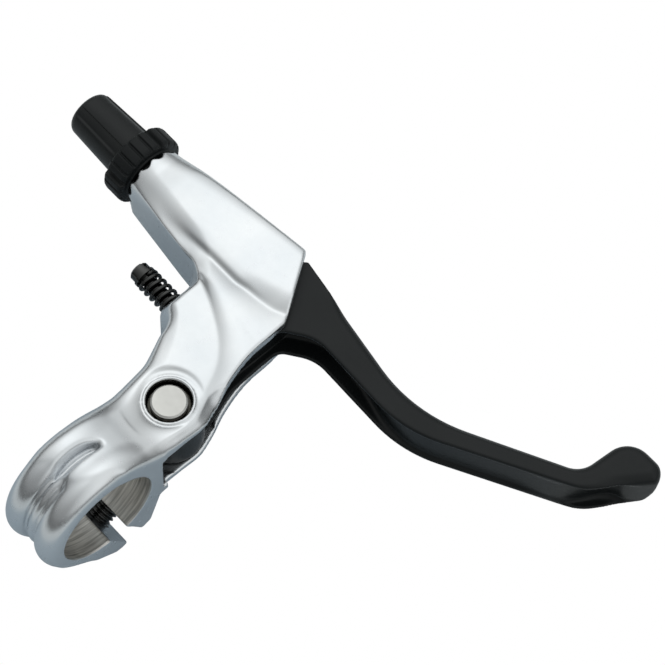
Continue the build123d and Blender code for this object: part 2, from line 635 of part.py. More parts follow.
def pivot_clip():
    """The open retaining clip in the pin's groove, with three prongs."""
    disc = Circle(CLIP_RADIUS) - Circle(CLIP_GROOVE_RADIUS + CLIP_CLEARANCE)
    mouth = Pos(0, -CLIP_RADIUS) * Rectangle(CLIP_MOUTH, 2 * CLIP_RADIUS)
    relief = Circle(CLIP_GROOVE_RADIUS + CLIP_RELIEF)
    across = Rectangle(4 * CLIP_RADIUS, CLIP_PRONG)
    back = Pos(0, CLIP_RADIUS) * Rectangle(CLIP_PRONG, 2 * CLIP_RADIUS)
    shape = disc - mouth - (relief - across - back)
    return extrude(Plane.XY.offset(CLIP_BOTTOM) * Pos(PIVOT_X, PIVOT_Y) * shape, amount=CLIP_THICKNESS)


def reach_screw():
    """The slotted screw whose tip stops the lever arm."""
    shank = along_x(REACH_RADIUS, REACH_UNDER_HEAD, LEVER_LEFT - REACH_TIP_GAP, REACH_Y)
    shank = chamfer(shank.edges().group_by(Axis.X)[-1], REACH_CHAMFER)
    flange = along_x(REACH_FLANGE_RADIUS, REACH_UNDER_HEAD - REACH_FLANGE, REACH_UNDER_HEAD, REACH_Y)
    head = along_x(REACH_HEAD_RADIUS, REACH_HEAD_END, REACH_UNDER_HEAD - REACH_FLANGE, REACH_Y)
    head = chamfer(head.edges().group_by(Axis.X)[0], REACH_CHAMFER)
    slot = Box(REACH_SLOT_DEPTH, FAR, REACH_SLOT, align=(Align.MIN, Align.CENTER, Align.CENTER))
    return shank + flange + head - Pos(REACH_HEAD_END, REACH_Y, 0) * Rot(REACH_SLOT_TURN, 0, 0) * slot


def reach_spring():
    """The coil spring between the reach screw's flange and its seat."""
    coil_radius = REACH_RADIUS + SPRING_CLEARANCE + SPRING_WIRE_RADIUS
    free = REACH_SPRING_LENGTH - 2 * SPRING_WIRE_RADIUS
    helix = Helix(
        pitch=free / SPRING_COILS,
        height=free,
        radius=coil_radius,
        center=(REACH_UNDER_HEAD + SPRING_WIRE_RADIUS, REACH_Y, 0),
        direction=(1, 0, 0),
    )
    section = Plane(origin=helix @ 0, z_dir=helix % 0) * RegularPolygon(SPRING_WIRE_RADIUS, SPRING_SIDES)
    return sweep(section, path=helix, is_frenet=True)


def adjuster_ring():
    """The adjuster's finger ring: lobes with fine grooves between deep notches, and a flange towards the boss."""
    ring = along_x(RING_RADIUS, RING_END, RING_BACK, CABLE_Y)
    ring = chamfer(ring.edges().filter_by(GeomType.CIRCLE), RING_CHAMFER)
    grooves_per_lobe = LOBE_GROOVES + 1
    spacing = 360 / (RING_LOBES * grooves_per_lobe)
    for index in range(RING_LOBES * grooves_per_lobe):
        if index % grooves_per_lobe == 0:
            groove = Box(FAR, RING_NOTCH_WIDTH, 2 * RING_NOTCH_DEPTH)
        else:
            groove = Box(FAR, RING_GROOVE_WIDTH, 2 * RING_GROOVE_DEPTH)
        turned = Rot(RING_NOTCH_TURN + spacing * index, 0, 0) * Pos(0, 0, RING_RADIUS) * groove
        ring -= Pos(RING_END, CABLE_Y, 0) * turned
    ring += along_x(BOSS_RADIUS - RING_FLANGE_STEP, RING_BACK, RING_START, CABLE_Y)
    return ring - along_x(ADJUSTER_RADIUS + ADJUSTER_FIT, RING_END - FAR, RING_START + FAR, CABLE_Y)


def adjuster_barrel():
    """The hollow adjuster screw: a tapered grip with a flat, a thread and a seat for the cable housing."""
    across = Plane(origin=(BARREL_BASE, CABLE_Y, 0), z_dir=(-1, 0, 0))
    taper = math.degrees(math.atan((BARREL_BASE_RADIUS - BARREL_TIP_RADIUS) / BARREL_LENGTH))
    grip = extrude(across * Circle(BARREL_BASE_RADIUS), amount=BARREL_LENGTH, taper=taper)
    grip = fillet(grip.edges().group_by(Axis.X)[0], BARREL_ROUND)
    channel = Box(BARREL_LENGTH, BARREL_FLAT, FAR, align=(Align.MAX, Align.CENTER, Align.MIN))
    depth = BARREL_TIP_RADIUS - BARREL_FLAT_DEPTH
    grip -= Pos(BARREL_BASE, CABLE_Y, 0) * Rot(BARREL_FLAT_TURN, 0, 0) * Pos(0, 0, depth) * channel
    thread = along_x(ADJUSTER_RADIUS, BARREL_BASE, BOSS_END + ADJUSTER_IN, CABLE_Y)
    barrel = grip + thread
    barrel -= along_x(CABLE_RADIUS, BARREL_TIP - FAR, BOSS_END + FAR, CABLE_Y)
    return barrel - along_x(HOUSING_RADIUS, BARREL_TIP, BARREL_TIP + HOUSING_DEPTH, CABLE_Y)


NODES = {
    "bracket_body": bracket_body,
    "clamp_bolt": clamp_bolt,
    "lever_blade": lever_blade,
    "pivot_pin": pivot_pin,
    "pivot_washer": pivot_washer,
    "pivot_clip": pivot_clip,
    "bush_upper": lambda: bush(1),
    "bush_lower": lambda: bush(-1),
    "reach_screw": reach_screw,
    "reach_spring": reach_spring,
    "adjuster_barrel": adjuster_barrel,
    "adjuster_ring": adjuster_ring,
}

os.makedirs("parts", exist_ok=True)
for node, make in NODES.items():
    export_step(make(), os.path.join("parts", node + ".step"))
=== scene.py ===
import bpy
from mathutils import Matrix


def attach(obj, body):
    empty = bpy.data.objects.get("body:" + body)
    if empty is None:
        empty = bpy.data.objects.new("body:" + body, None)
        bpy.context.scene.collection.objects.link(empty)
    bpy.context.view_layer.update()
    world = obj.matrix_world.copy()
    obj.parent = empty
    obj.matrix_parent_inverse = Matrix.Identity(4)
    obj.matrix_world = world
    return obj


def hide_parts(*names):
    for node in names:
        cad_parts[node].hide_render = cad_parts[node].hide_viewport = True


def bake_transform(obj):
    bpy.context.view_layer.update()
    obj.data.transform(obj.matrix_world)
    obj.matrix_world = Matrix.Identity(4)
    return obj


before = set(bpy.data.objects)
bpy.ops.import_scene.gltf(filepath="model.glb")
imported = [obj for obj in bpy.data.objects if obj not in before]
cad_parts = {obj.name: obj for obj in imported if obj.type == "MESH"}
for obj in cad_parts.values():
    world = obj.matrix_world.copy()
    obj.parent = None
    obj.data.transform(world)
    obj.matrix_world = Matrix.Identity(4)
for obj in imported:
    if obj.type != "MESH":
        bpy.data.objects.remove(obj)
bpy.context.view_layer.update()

import math
import bpy
import numpy as np
from mathutils import Matrix, Vector

# Visual model of a bicycle brake lever for the right hand.
# Sizes are in millimetres, in the same frame as the solids: X along the handlebar, Y forwards, Z up.
MM = 0.001
# A distance well outside the bracket, for outlines that run past it
FAR = 60.0
# Faces that meet at more than this angle, in degrees, have a sharp edge between them
SHARP_ANGLE = 38.0

# Grids that the two distance fields are worked out on
BRACKET_STEP = 0.36
BRACKET_LOW = (-46.0, -22.5, -19.5)
BRACKET_HIGH = (8.8, 70.0, 17.6)
LEVER_STEP = 0.33
LEVER_LOW = (-14.0, 13.9, -6.6)
LEVER_HIGH = (76.8, 89.3, 6.6)

# Rounding of the edges that a cut leaves
FINE_EDGE = 0.1
SMALL_EDGE = 0.15
HOLE_EDGE = 0.2
SLOT_EDGE = 0.25
WIDE_EDGE = 0.3

# Handlebar clamp: two round ridges with a bead between them, and a slot with a bolt across it
BAR_RADIUS = 11.1
CLAMP_HALF = 7.75
BAND_Y = 0.1
BAND_Z = 0.5
RIDGE_X = 4.32
RIDGE_RADIUS = 3.6
RIDGE_CENTRE = 11.65
BEAD_CENTRE = 12.75
BEAD_RADIUS = 1.3
BEAD_SINK = 0.5
BEAD_GROOVE_X = 1.35
BEAD_GROOVE_CENTRE = 13.8
BEAD_GROOVE_RADIUS = 0.4
CORE_RADIUS = 12.5
CORE_HALF = 6.0
SLOT_TILT = math.radians(30.0)
SLOT_OFFSET = -3.5
SLOT_HALF = 2.0
BOLT_REACH = 15.3
BOLT_SEAT = -7.5
BOLT_END = 7.4
BOLT_RADIUS = 2.95
BOLT_PITCH = 1.0
BOLT_HOLE = 3.0
BOLT_HOLE_MIDDLE = 0.45
BOLT_HOLE_HALF = 7.95
BOLT_HEAD_ROOM = 5.1

# Pivot: a raised rim round a recess, with the pin's end at its floor
PIVOT_X = -0.6
PIVOT_Y = 23.1
PIVOT_TOP = 9.0
PIVOT_FOOT = -7.8
PIVOT_BOSS_RADIUS = 5.7
SPOT_RADIUS = 5.8
SPOT_LIMIT = 9.5
RIM_RADIUS = 5.0
RIM_HALF = 0.34
RIM_GROOVE_RADIUS = 5.55
RIM_GROOVE_HALF = 0.3
RECESS_RADIUS = 4.7
RECESS_FLOOR = 6.6
PIN_HOLE = 3.01

# Cable tunnel, its boss, and the reach screw's lug
CABLE_Y = 57.0
BOSS_END = -45.3
BOSS_RADIUS = 6.7
BOSS_SCALLOPS = 12
SCALLOP_RADIUS = 1.4
SCALLOP_SET = 0.6
SCALLOP_INNER = 4.9
ADJUSTER_HOLE = 4.98
ADJUSTER_DEPTH = 10.0
CABLE_HOLE = 2.3
CABLE_SLOT_HALF = 1.2
NIPPLE_X = -5.0
NIPPLE_ROOM = 4.0
TUNNEL_FRONT_NARROW = 5.6
TUNNEL_FRONT_WIDE = 10.8
NOSE_SLOPE = 0.3
NOSE_OPEN_X = -34.0
NOSE_OPEN_LENGTH = 14.0
WALL_DRAFT = 0.42
WALL_DRAFT_FROM = 4.0
LOWER_CHEEK_SET = 1.0
LOWER_CHEEK_START = 12.1
REACH_Y = 40.4
REACH_SEAT_X = -18.9
REACH_HOLE = 1.55

# Room for the lever inside the head
CAVITY_HALF = 5.7
CAVITY_LEFT = -14.4
CAVITY_FRONT = 66.1
CAVITY_CORNER = 3.8
HUB_GAP = 0.6
HUB_FACE_ROOM = 8.8
HUB_FACE_HALF = 6.0
HUB_WINDOW_SET = 0.7
HUB_WINDOW_HALF = 6.3
ARM_BOTTOM = -7.6

# Lever blade
LEVER_HALF = 5.4
LEVER_LEFT = -12.6
HUB_RADIUS = 7.0
HUB_HALF = 5.75
BUSH_HOLE = 4.0
BUSH_FLANGE_RADIUS = 5.3
BUSH_FLANGE_SEAT = 5.35
NIPPLE_RADIUS = 3.6
NIPPLE_TOP = 3.0
CABLE_WAY_HALF = 1.0
CABLE_WAY_TOP = 1.0
ROOT_GAP = 0.3
HOOK_X = 0.8
ARM_HALF = 6.6
BEND_X = 32.5
BEND_Y = 57.0
TIP_X = 69.8
TIP_Y = 82.2
TIP_DIRECTION = (0.7, 0.714)
TIP_REACH = 6.9
TIP_UNDERCUT = 3.9
TIP_POWER = 1.8
TIP_STEEPNESS = 1.15
CHANNEL_HALF = 4.4
CHANNEL_START = -1.0

# Cable adjuster, with its angles in degrees
RING_START = -45.6
RING_BACK = -46.0
RING_END = -51.2
RING_RADIUS = 8.38
RING_GROOVES = 20
GROOVES_PER_LOBE = 5
FIRST_GROOVE = 25.0
GROOVE_DEPTH = 0.42
GROOVE_HALF = 2.0
LOBE_GROOVE_DEPTH = 1.15
LOBE_GROOVE_HALF = 5.0
FLANGE_RADIUS = 6.4
BARREL_BASE = -51.7
BARREL_TIP = -66.1
BARREL_BASE_RADIUS = 5.75
BARREL_TIP_RADIUS = 5.2
BARREL_ROUND = 1.8
BARREL_PANELS = 4
BARREL_FIRST_PANEL = -33.0
BARREL_PANEL_DEPTH = 0.34
THREAD_START = -36.3
THREAD_RADIUS = 4.86
THREAD_DEPTH = 0.28
THREAD_PITCH = 1.0
HOUSING_RADIUS = 2.6
HOUSING_DEPTH = 10.0
CABLE_BORE = 1.3

# Reach spring
SPRING_LENGTH = 9.0
SPRING_COIL = 2.27
SPRING_WIRE = 0.4
SPRING_TURNS = 6.0

# Camera, from the photo's fitted view: angles in degrees, lens and sensor in millimetres
CAMERA_BEARING = 44.9786
CAMERA_HEIGHT = 63.1969
CAMERA_ROLL = 3.2304
CAMERA_TARGET = (6.3402, 60.5685)
CAMERA_DISTANCE = 700.0
CAMERA_LENS = 187.41
CAMERA_SENSOR = 36.0

# Floor under the part: its height, half its side, and where its painted shade near the part fades paler
FLOOR_Z = -22.8
FLOOR_REACH = 450.0
FLOOR_DARK_TO = 65.0
FLOOR_PALE_FROM = 100.0

# Light overhead, with its power in watts
LAMP_SIDES = (700.0, 500.0)
LAMP_PLACE = (-150.0, 300.0, 800.0)
LAMP_TARGET = (0.0, 50.0, 0.0)
LAMP_POWER = 0.05


def mesh_piece(name, points, quads, normals=None):
    """A mesh object from an array of points in millimetres and an array of four-cornered faces."""
    mesh = bpy.data.meshes.new(name)
    count = len(quads)
    mesh.vertices.add(len(points))
    mesh.vertices.foreach_set("co", np.asarray(points * MM, np.float32).ravel())
    mesh.loops.add(4 * count)
    mesh.loops.foreach_set("vertex_index", np.asarray(quads, np.int32).ravel())
    mesh.polygons.add(count)
    mesh.polygons.foreach_set("loop_start", np.arange(0, 4 * count, 4, dtype=np.int32))
    mesh.polygons.foreach_set("use_smooth", np.ones(count, bool))
    mesh.update(calc_edges=True)
    if normals is None:
        mesh.set_sharp_from_angle(angle=math.radians(SHARP_ANGLE))
    else:
        mesh.normals_split_custom_set_from_vertices(normals.astype(np.float32))
    piece = bpy.data.objects.new(name, mesh)
    bpy.context.scene.collection.objects.link(piece)
    return piece


def grid_quads(rows, columns):
    """Faces of a grid of points that goes round: the last column joins the first."""
    row, column = np.meshgrid(np.arange(rows - 1), np.arange(columns), indexing="ij")
    after = (column + 1) % columns
    faces = np.stack([row * columns + column, row * columns + after,
                      (row + 1) * columns + after, (row + 1) * columns + column], axis=-1)
    return faces.reshape(-1, 4)


def rounded_outline(corners):
    """The points of a closed outline from (x, y, radius) corners, each corner replaced by an arc."""
    spots = np.array([corner[:2] for corner in corners], float)
    points = []
    for index, here in enumerate(spots):
        radius = corners[index][2]
        if radius == 0:
            points.append(here[None])
            continue
        back = spots[index - 1] - here
        ahead = spots[(index + 1) % len(spots)] - here
        back /= np.linalg.norm(back)
        ahead /= np.linalg.norm(ahead)
        half = 0.5 * math.acos(np.clip(back @ ahead, -1, 1))
        middle = back + ahead
        centre = here + middle / np.linalg.norm(middle) * radius / math.sin(half)
        first = here + back * radius / math.tan(half) - centre
        last = here + ahead * radius / math.tan(half) - centre
        turn = math.atan2(first[0] * last[1] - first[1] * last[0], first @ last)
        steps = np.linspace(0, turn, 12)
        arc = np.stack([first[0] * np.cos(steps) - first[1] * np.sin(steps),
                        first[0] * np.sin(steps) + first[1] * np.cos(steps)], axis=-1)
        points.append(centre + arc)
    return np.concatenate(points)


def cubic(t, length, first, first_slope, last, last_slope):
    """A cubic from one value and slope to another: each end's value and slope times its own cubic of t."""
    return ((2 * t ** 3 - 3 * t ** 2 + 1) * first + (t ** 3 - 2 * t ** 2 + t) * length * first_slope
            + (3 * t ** 2 - 2 * t ** 3) * last + (t ** 3 - t ** 2) * length * last_slope)


def smooth_curve(spots, count):
    """Points on a smooth curve through the given spots: cubic pieces with chord-based tangents."""
    spots = np.array(spots, float)
    place = np.concatenate([[0], np.cumsum(np.linalg.norm(np.diff(spots, axis=0), axis=1))])
    slopes = np.gradient(spots, place, axis=0)
    at = np.linspace(0, place[-1], count)
    piece = np.clip(np.searchsorted(place, at, side="right") - 1, 0, len(place) - 2)
    length = (place[piece + 1] - place[piece])[:, None]
    t = (at - place[piece])[:, None] / length
    return cubic(t, length, spots[piece], slopes[piece], spots[piece + 1], slopes[piece + 1])


def outline_distance(points, x, y):
    """Distance in the plane from every (x, y) to a closed outline, below zero inside it."""
    x, y = np.broadcast_arrays(x, y)
    nearest = np.full(x.shape, 1e9)
    inside = np.zeros(x.shape, bool)
    for start, end in zip(points, np.roll(points, -1, axis=0)):
        along = end - start
        length = along @ along
        if length < 1e-12:
            continue
        t = np.clip(((x - start[0]) * along[0] + (y - start[1]) * along[1]) / length, 0, 1)
        off_x = x - start[0] - t * along[0]
        off_y = y - start[1] - t * along[1]
        nearest = np.minimum(nearest, off_x ** 2 + off_y ** 2)
        crosses = (start[1] > y) != (end[1] > y)
        if along[1] != 0:
            inside ^= crosses & (x < start[0] + (y - start[1]) * along[0] / along[1])
    return np.where(inside, -1.0, 1.0) * np.sqrt(nearest)


def blend(a, b, width):
    """Union of two distance fields with a soft fillet: the smaller one, rounded where they are close."""
    share = np.clip(0.5 + 0.5 * (b - a) / width, 0, 1)
    return b + (a - b) * share - width * share * (1 - share)


def meet(a, b, radius):
    """What two distance fields share, with the edge between them rounded to a radius."""
    rounded = np.hypot(np.maximum(a + radius, 0), np.maximum(b + radius, 0))
    return np.minimum(np.maximum(a, b), -radius) + rounded


def cut(a, b, radius):
    """The first distance field less the second, with the new edge rounded."""
    return meet(a, -b, radius)


def soften(heights, reach):
    """A height field averaged with its neighbours by a bell curve, along one side and then the other."""
    size = int(math.ceil(3 * reach))
    offsets = np.arange(-size, size + 1)
    weights = np.exp(-0.5 * (offsets / reach) ** 2)
    weights /= weights.sum()
    for axis in (0, 1):
        padded = np.pad(heights, [(size, size) if side == axis else (0, 0) for side in (0, 1)], mode="edge")
        heights = sum(weight * np.take(padded, np.arange(heights.shape[axis]) + size + offset, axis=axis)
                      for weight, offset in zip(weights, offsets))
    return heights


def sample(field, spots):
    """Values of a field at fractional grid places, mixed from the eight grid points around each."""
    base = np.clip(np.floor(spots).astype(int), 0, np.array(field.shape) - 2)
    part = spots - base
    value = 0
    for corner in np.ndindex(2, 2, 2):
        share = np.prod(np.where(corner, part, 1 - part), axis=1)
        value = value + share * field[tuple((base + corner).T)]
    return value


def field_surface(field, low, step):
    """The zero surface of a distance field: one point for each grid cell that it crosses, the mean of
    the crossings on the cell's edges, moved on to the surface along the field's slope; and a
    four-cornered face for each grid edge that it crosses. Gives points, faces and normals."""
    inside = field < 0
    cells = tuple(size - 1 for size in field.shape)
    corners = list(np.ndindex(2, 2, 2))
    view = [tuple(slice(c, c + n) for c, n in zip(corner, cells)) for corner in corners]
    filled = sum(inside[v].astype(np.int8) for v in view)
    where = np.argwhere((filled > 0) & (filled < 8))
    values = np.stack([field[tuple((where + corner).T)] for corner in corners], axis=1)
    total = np.zeros((len(where), 3))
    hits = np.zeros((len(where), 1))
    for first, one in enumerate(corners):
        for second, other in enumerate(corners):
            if second > first and sum(abs(a - b) for a, b in zip(one, other)) == 1:
                a, b = values[:, first], values[:, second]
                crossed = (a < 0) != (b < 0)
                t = np.where(crossed, a / np.where(crossed, a - b, 1), 0)[:, None]
                spot = np.array(one) + t * (np.array(other) - np.array(one))
                total += np.where(crossed[:, None], spot, 0)
                hits += crossed[:, None]
    spots = where + total / hits
    slopes = np.gradient(field, step)
    for repeat in range(2):
        slope = np.stack([sample(s, spots) for s in slopes], axis=1)
        away = sample(field, spots)[:, None] * slope / np.maximum((slope ** 2).sum(1, keepdims=True), 0.05)
        spots = spots - np.clip(away / step, -0.6, 0.6)
    slope = np.stack([sample(s, spots) for s in slopes], axis=1)
    normals = slope / np.maximum(np.linalg.norm(slope, axis=1, keepdims=True), 1e-9)
    number = np.full(cells, -1, np.int32)
    number[tuple(where.T)] = np.arange(len(where))
    faces = []
    for axis in range(3):
        others = [a for a in range(3) if a != axis]
        near = [slice(1, n) for n in cells]
        near[axis] = slice(0, cells[axis])
        far = list(near)
        far[axis] = slice(1, cells[axis] + 1)
        edge = np.argwhere(inside[tuple(near)] != inside[tuple(far)])
        edge += [0 if a == axis else 1 for a in range(3)]
        leaving = inside[tuple(edge.T)]
        ring = []
        for one, two in ((-1, -1), (0, -1), (0, 0), (-1, 0)):
            cell = edge.copy()
            cell[:, others[0]] += one
            cell[:, others[1]] += two
            ring.append(number[tuple(cell.T)])
        ring = np.stack(ring, axis=1)
        if axis == 1:
            leaving = ~leaving
        faces.append(np.where(leaving[:, None], ring, ring[:, ::-1]))
    return low + spots * step, np.concatenate(faces), normals


def field_grid(low, high, step):
    """Grid coordinates of a box, shaped so that they combine into a block."""
    axes = [np.arange(a, b + step, step) for a, b in zip(low, high)]
    return axes[0][:, None, None], axes[1][None, :, None], axes[2][None, None, :]


def ease(value, low, high):
    """A smooth step from 0 at low to 1 at high."""
    t = np.clip((value - low) / (high - low), 0, 1)
    return t * t * (3 - 2 * t)


def table(at, places, values):
    """A smooth curve through values given at some places, never past them, read all over an array."""
    places, values = np.array(places, float), np.array(values, float)
    rise = np.diff(values) / np.diff(places)
    same = rise[:-1] * rise[1:] > 0
    slope = np.zeros(len(values))
    slope[1:-1] = np.where(same, 2 * rise[:-1] * rise[1:] / np.where(same, rise[:-1] + rise[1:], 1), 0)
    piece = np.clip(np.searchsorted(places, at) - 1, 0, len(places) - 2)
    length = places[piece + 1] - places[piece]
    t = np.clip((at - places[piece]) / length, 0, 1)
    return cubic(t, length, values[piece], slope[piece], values[piece + 1], slope[piece + 1])


def top_heights(x, y):
    """Height of the bracket's top over the plan. Along every line across the arm the height runs through
    five knots: the arm's own top, the first crest, a shallow flute, the second crest and the valley
    beside the cable tunnel, then up a shoulder, steep at its foot, to the tunnel's crowned top. The
    knots' places and heights are smooth functions of X. Inboard of the neck only the tunnel is left."""
    profile = smooth_curve([
        (-9, 7.0), (-8, 9.5), (-7, 11.9), (-6, 13.4), (-4.5, 14.7), (-3, 15.2), (-1, 15.45), (1, 15.4),
        (3, 15.1), (6, 14.4), (9, 13.2), (12, 11.75), (15.5, 10.35), (21, 9.5), (28, 9.2), (40, 9.2),
        (75, 9.2),
    ], 400)
    lean = -0.044 * x * ease(y, 0, 12) - 0.012 * np.maximum(x + 1.0, 0) ** 2 * ease(y, 24, 34)
    arm = np.interp(y, profile[:, 0], profile[:, 1]) + lean
    tunnel = table(x, [BOSS_END, -36.0, -26.0, 6.0], [BOSS_RADIUS, 7.8, 8.4, 8.9])
    tunnel = tunnel - 0.004 * (y - CABLE_Y) ** 2
    crest_x = [-27, -22.3, -18.3, -13, -8.7, -4.8, -1.4, 0.9, 2.5, 4.5, 8]
    crest_one = table(x, crest_x, [47.4, 46.6, 45.7, 43.9, 41.9, 39.6, 36.6, 33.5, 30.0, 23.0, 18.0])
    crest_two = table(x, crest_x, [48.4, 48.0, 47.4, 46.8, 46.2, 45.7, 45.2, 44.6, 44.0, 42.6, 41.0])
    valley = table(x, [-29, -13, -9.4, -5.9, -2.8, -0.6, 8], [50.8, 50.8, 51.4, 51.8, 52.4, 53.4, 56.0])
    shoulder = table(x, [-29, -16, -12, -8.5, -3, 8], [3.4, 3.4, 3.6, 4.2, 5.5, 8.0])
    valley_height = table(x, [-38, -29, -20, -14.5, -7, -0.7, 8], [7.0, 7.2, 7.35, 7.35, 7.4, 7.35, 7.1])
    crest_two_height = table(x, [-38, -27, -17.6, -10, -0.7, 8], [7.0, 7.6, 8.3, 8.5, 8.4, 8.1])
    flute = table(x, [-22, -16, -10, 0, 8], [0.0, 0.15, 0.3, 0.4, 0.4])
    crest_one_height = np.interp(crest_one, profile[:, 0], profile[:, 1]) + lean
    crest_one_height = crest_two_height + (crest_one_height - crest_two_height) * ease(x, -24.0, -15.0)
    arm = crest_one_height + (arm - crest_one_height) * ease(x, -26.0, -19.0)
    rise = np.clip((y - crest_one) / np.maximum(crest_two - crest_one, 0.1), 0, 1)
    between = crest_one_height + (crest_two_height - crest_one_height) * rise
    between = between - flute * 4 * rise * (1 - rise)
    fall = np.clip((y - crest_two) / np.maximum(valley - crest_two, 0.1), 0, 1)
    gentle = crest_two_height + (valley_height - crest_two_height) * fall ** 1.7
    climb = np.clip((y - valley) / shoulder, 0, 1)
    step_up = table(x, [-33, -27, -21, -14, -9, -4], [0, 0.35, 0.8, 0.8, 0.35, 0])
    steep = valley_height + step_up * ease(y - valley, 0, 1.1)
    steep = steep + (tunnel - valley_height - step_up) * (1 - (1 - climb) ** 1.7)
    past_crests = np.where(y < valley, gentle, steep)
    height = np.where(y < crest_one, arm, np.where(y < crest_two, between, past_crests))
    return tunnel + (height - tunnel) * ease(x, -36.0, -25.0)


def roll_off(depth, width, power, inside):
    """How far a surface has sunk at a distance inside its edge: the depth times a power of the share of the
    width that is left."""
    return depth * np.clip(1 - inside / width, 0, 1) ** power


def hollow(depth, width, inside):
    """How far a hollow flank has sunk at a distance inside its edge: a straight line plus a sine wave."""
    t = np.clip(inside / width, 0, 1)
    return depth * (1 - t + 0.4 * np.sin(2 * np.pi * t) / (2 * np.pi))


def across_slot(y, z):
    """Coordinates turned with the clamp's slot: along the bolt, and away from the slot's open end."""
    cosine, sine = math.cos(SLOT_TILT), math.sin(SLOT_TILT)
    return y * cosine + z * sine, z * cosine - y * sine


def clamp_field(x, y, z):
    """Distance field of the clamp: two rings of round section, a core and a bead joined between them, a
    groove on each side of the bead that fades under the arm's tongue, and the jaws from their outline."""
    ring = np.hypot(y - BAND_Y, z - BAND_Z)
    ridges = np.hypot(np.abs(x) - RIDGE_X, ring - RIDGE_CENTRE) - RIDGE_RADIUS
    under_tongue = ease(y, -7.0, -2.5)
    bead = np.hypot(x, ring - BEAD_CENTRE) - BEAD_RADIUS + BEAD_SINK * under_tongue
    core = np.maximum(ring - CORE_RADIUS, np.abs(x) - CORE_HALF)
    band = blend(np.minimum(ridges, core), bead, 0.2)
    for side in (-BEAD_GROOVE_X, BEAD_GROOVE_X):
        groove = np.hypot(x - side, ring - BEAD_GROOVE_CENTRE) - BEAD_GROOVE_RADIUS + 0.8 * under_tongue
        band = cut(band, groove, WIDE_EDGE)
    along_bolt, above = across_slot(y, z)
    jaw_outline = rounded_outline([
        (-13.1, 0, 0), (-11.1, -12.3, 3.0), (-8.6, -17.6, 1.0), (-6.9, -18.6, 1.0), (1.1, -20.0, 1.0),
        (4.9, -16.7, 3.0), (9.9, -12.3, 2.0), (9.9, 0, 0),
    ])
    jaws = outline_distance(jaw_outline, along_bolt[0], above[0])[None]
    return blend(band, meet(jaws, np.abs(x) - CLAMP_HALF, 1.0), 1.6)


def plan_distances(plan_x, plan_y):
    """Distances in plan to the bracket's sides: the inboard outline, the tunnel's straight front, and the
    outboard edge of the upper and lower cheeks, whose head end is a parabola that bends towards a point."""
    inboard = outline_distance(rounded_outline([
        (-7.95, -8.0, 0), (-9.25, 15.6, 20.0), (-10.55, 25.1, 10.0), (-14.2, 33.8, 4.6),
        (REACH_SEAT_X, 35.8, 3.2), (REACH_SEAT_X, 47.6, 5.0), (-26.0, 48.2, 0), (-70.0, 53.6, 0),
        (-70.0, 150.0, 0), (FAR, 150.0, 0), (FAR, -8.0, 0),
    ]), plan_x, plan_y)
    tunnel_front = [CABLE_Y + TUNNEL_FRONT_NARROW, CABLE_Y + TUNNEL_FRONT_WIDE]
    front = plan_y - np.interp(plan_x, [BOSS_END, 6.0], tunnel_front)
    tunnel_corner = (-9.3, CABLE_Y + TUNNEL_FRONT_WIDE)
    bend = (-1.4, CABLE_Y - 0.2)
    corner = (1.2, CABLE_Y - 4.8)
    turn = np.linspace(0, 1, 30)[:, None]
    end_face = np.array([tunnel_corner]) * (1 - turn) ** 2 + np.array([corner]) * turn ** 2
    end_face = end_face + 2 * turn * (1 - turn) * np.array([bend])
    cheek = smooth_curve([
        corner, (1.6, 48.0), (1.9, 42.5), (3.9, 34.7), (6.6, 28.4), (CLAMP_HALF, 24.7), (CLAMP_HALF, 20.0),
        (CLAMP_HALF, 15.6),
    ], 60)
    beyond = np.array([(FAR, 15.6), (FAR, 120), (tunnel_corner[0], 120)])
    outside = np.concatenate([end_face, cheek[1:], beyond])
    upper = outline_distance(outside, plan_x, plan_y)
    lower = outline_distance(outside + (-LOWER_CHEEK_SET, 0), plan_x, plan_y)
    return inboard, front, upper, lower


def sunk_heights(plan_x, plan_y, step, inboard, front, outboard):
    """The top's height field, softened, less what it sinks towards its inboard, front and outboard edges.
    The depth and width of each edge are smooth functions of the place along it."""
    heights = soften(top_heights(plan_x, plan_y), 0.3 / step)
    on_arm = ease(plan_y, 46.5, 43.0)
    wall_x = [BOSS_END, -43, -40, -25, -22, -19, -10]
    depth = table(plan_x, wall_x, [1.6, 1.8, 1.8, 1.6, 1.4, 1.3, 1.3])
    arm_depth = table(plan_y, [0, 28, 36, 40, 43, 45], [2.0, 1.2, 0.9, 0.8, 0.9, 1.2])
    depth = depth + on_arm * (arm_depth - depth)
    width = table(plan_x, wall_x, [5.2, 5.2, 5.2, 4.8, 4.2, 3.6, 3.6])
    arm_width = table(plan_y, [0, 28, 36, 40, 45], [4.5, 4.5, 3.2, 3.2, 3.4])
    width = width + on_arm * (arm_width - width)
    on_head = ease(plan_x, -22.0, -28.0)
    heights = heights - roll_off(depth, width, 1.4, -inboard) * (1 - on_head)
    heights = heights - hollow(depth, width, -inboard) * on_head
    front_x = [BOSS_END, -40, -34, -26, -10]
    front_depth = table(plan_x, front_x, [1.4, 1.2, 0.9, 0.7, 0.5])
    front_width = table(plan_x, front_x, [5.0, 4.6, 4.0, 3.2, 2.2])
    heights = heights - roll_off(front_depth, front_width, 2.0, -front)
    side_y = [-8, -6, -4.3, -1, 2, 7.6, 14, 19, 24, 29, 32, 34.5, 60]
    side_depth = table(plan_y, side_y, [3.0, 2.2, 1.6, 0.8, 0.4, 1.1, 1.6, 1.7, 1.8, 2.1, 1.3, 0.1, 0.05])
    side_width = table(plan_y, side_y, [3.0, 2.5, 2.0, 1.2, 1.5, 2.4, 2.4, 2.0, 2.1, 2.4, 1.6, 0.5, 0.5])
    side_power = np.interp(plan_y, [10, 18], [2.0, 1.0])
    return heights - roll_off(side_depth, side_width, side_power, outboard)


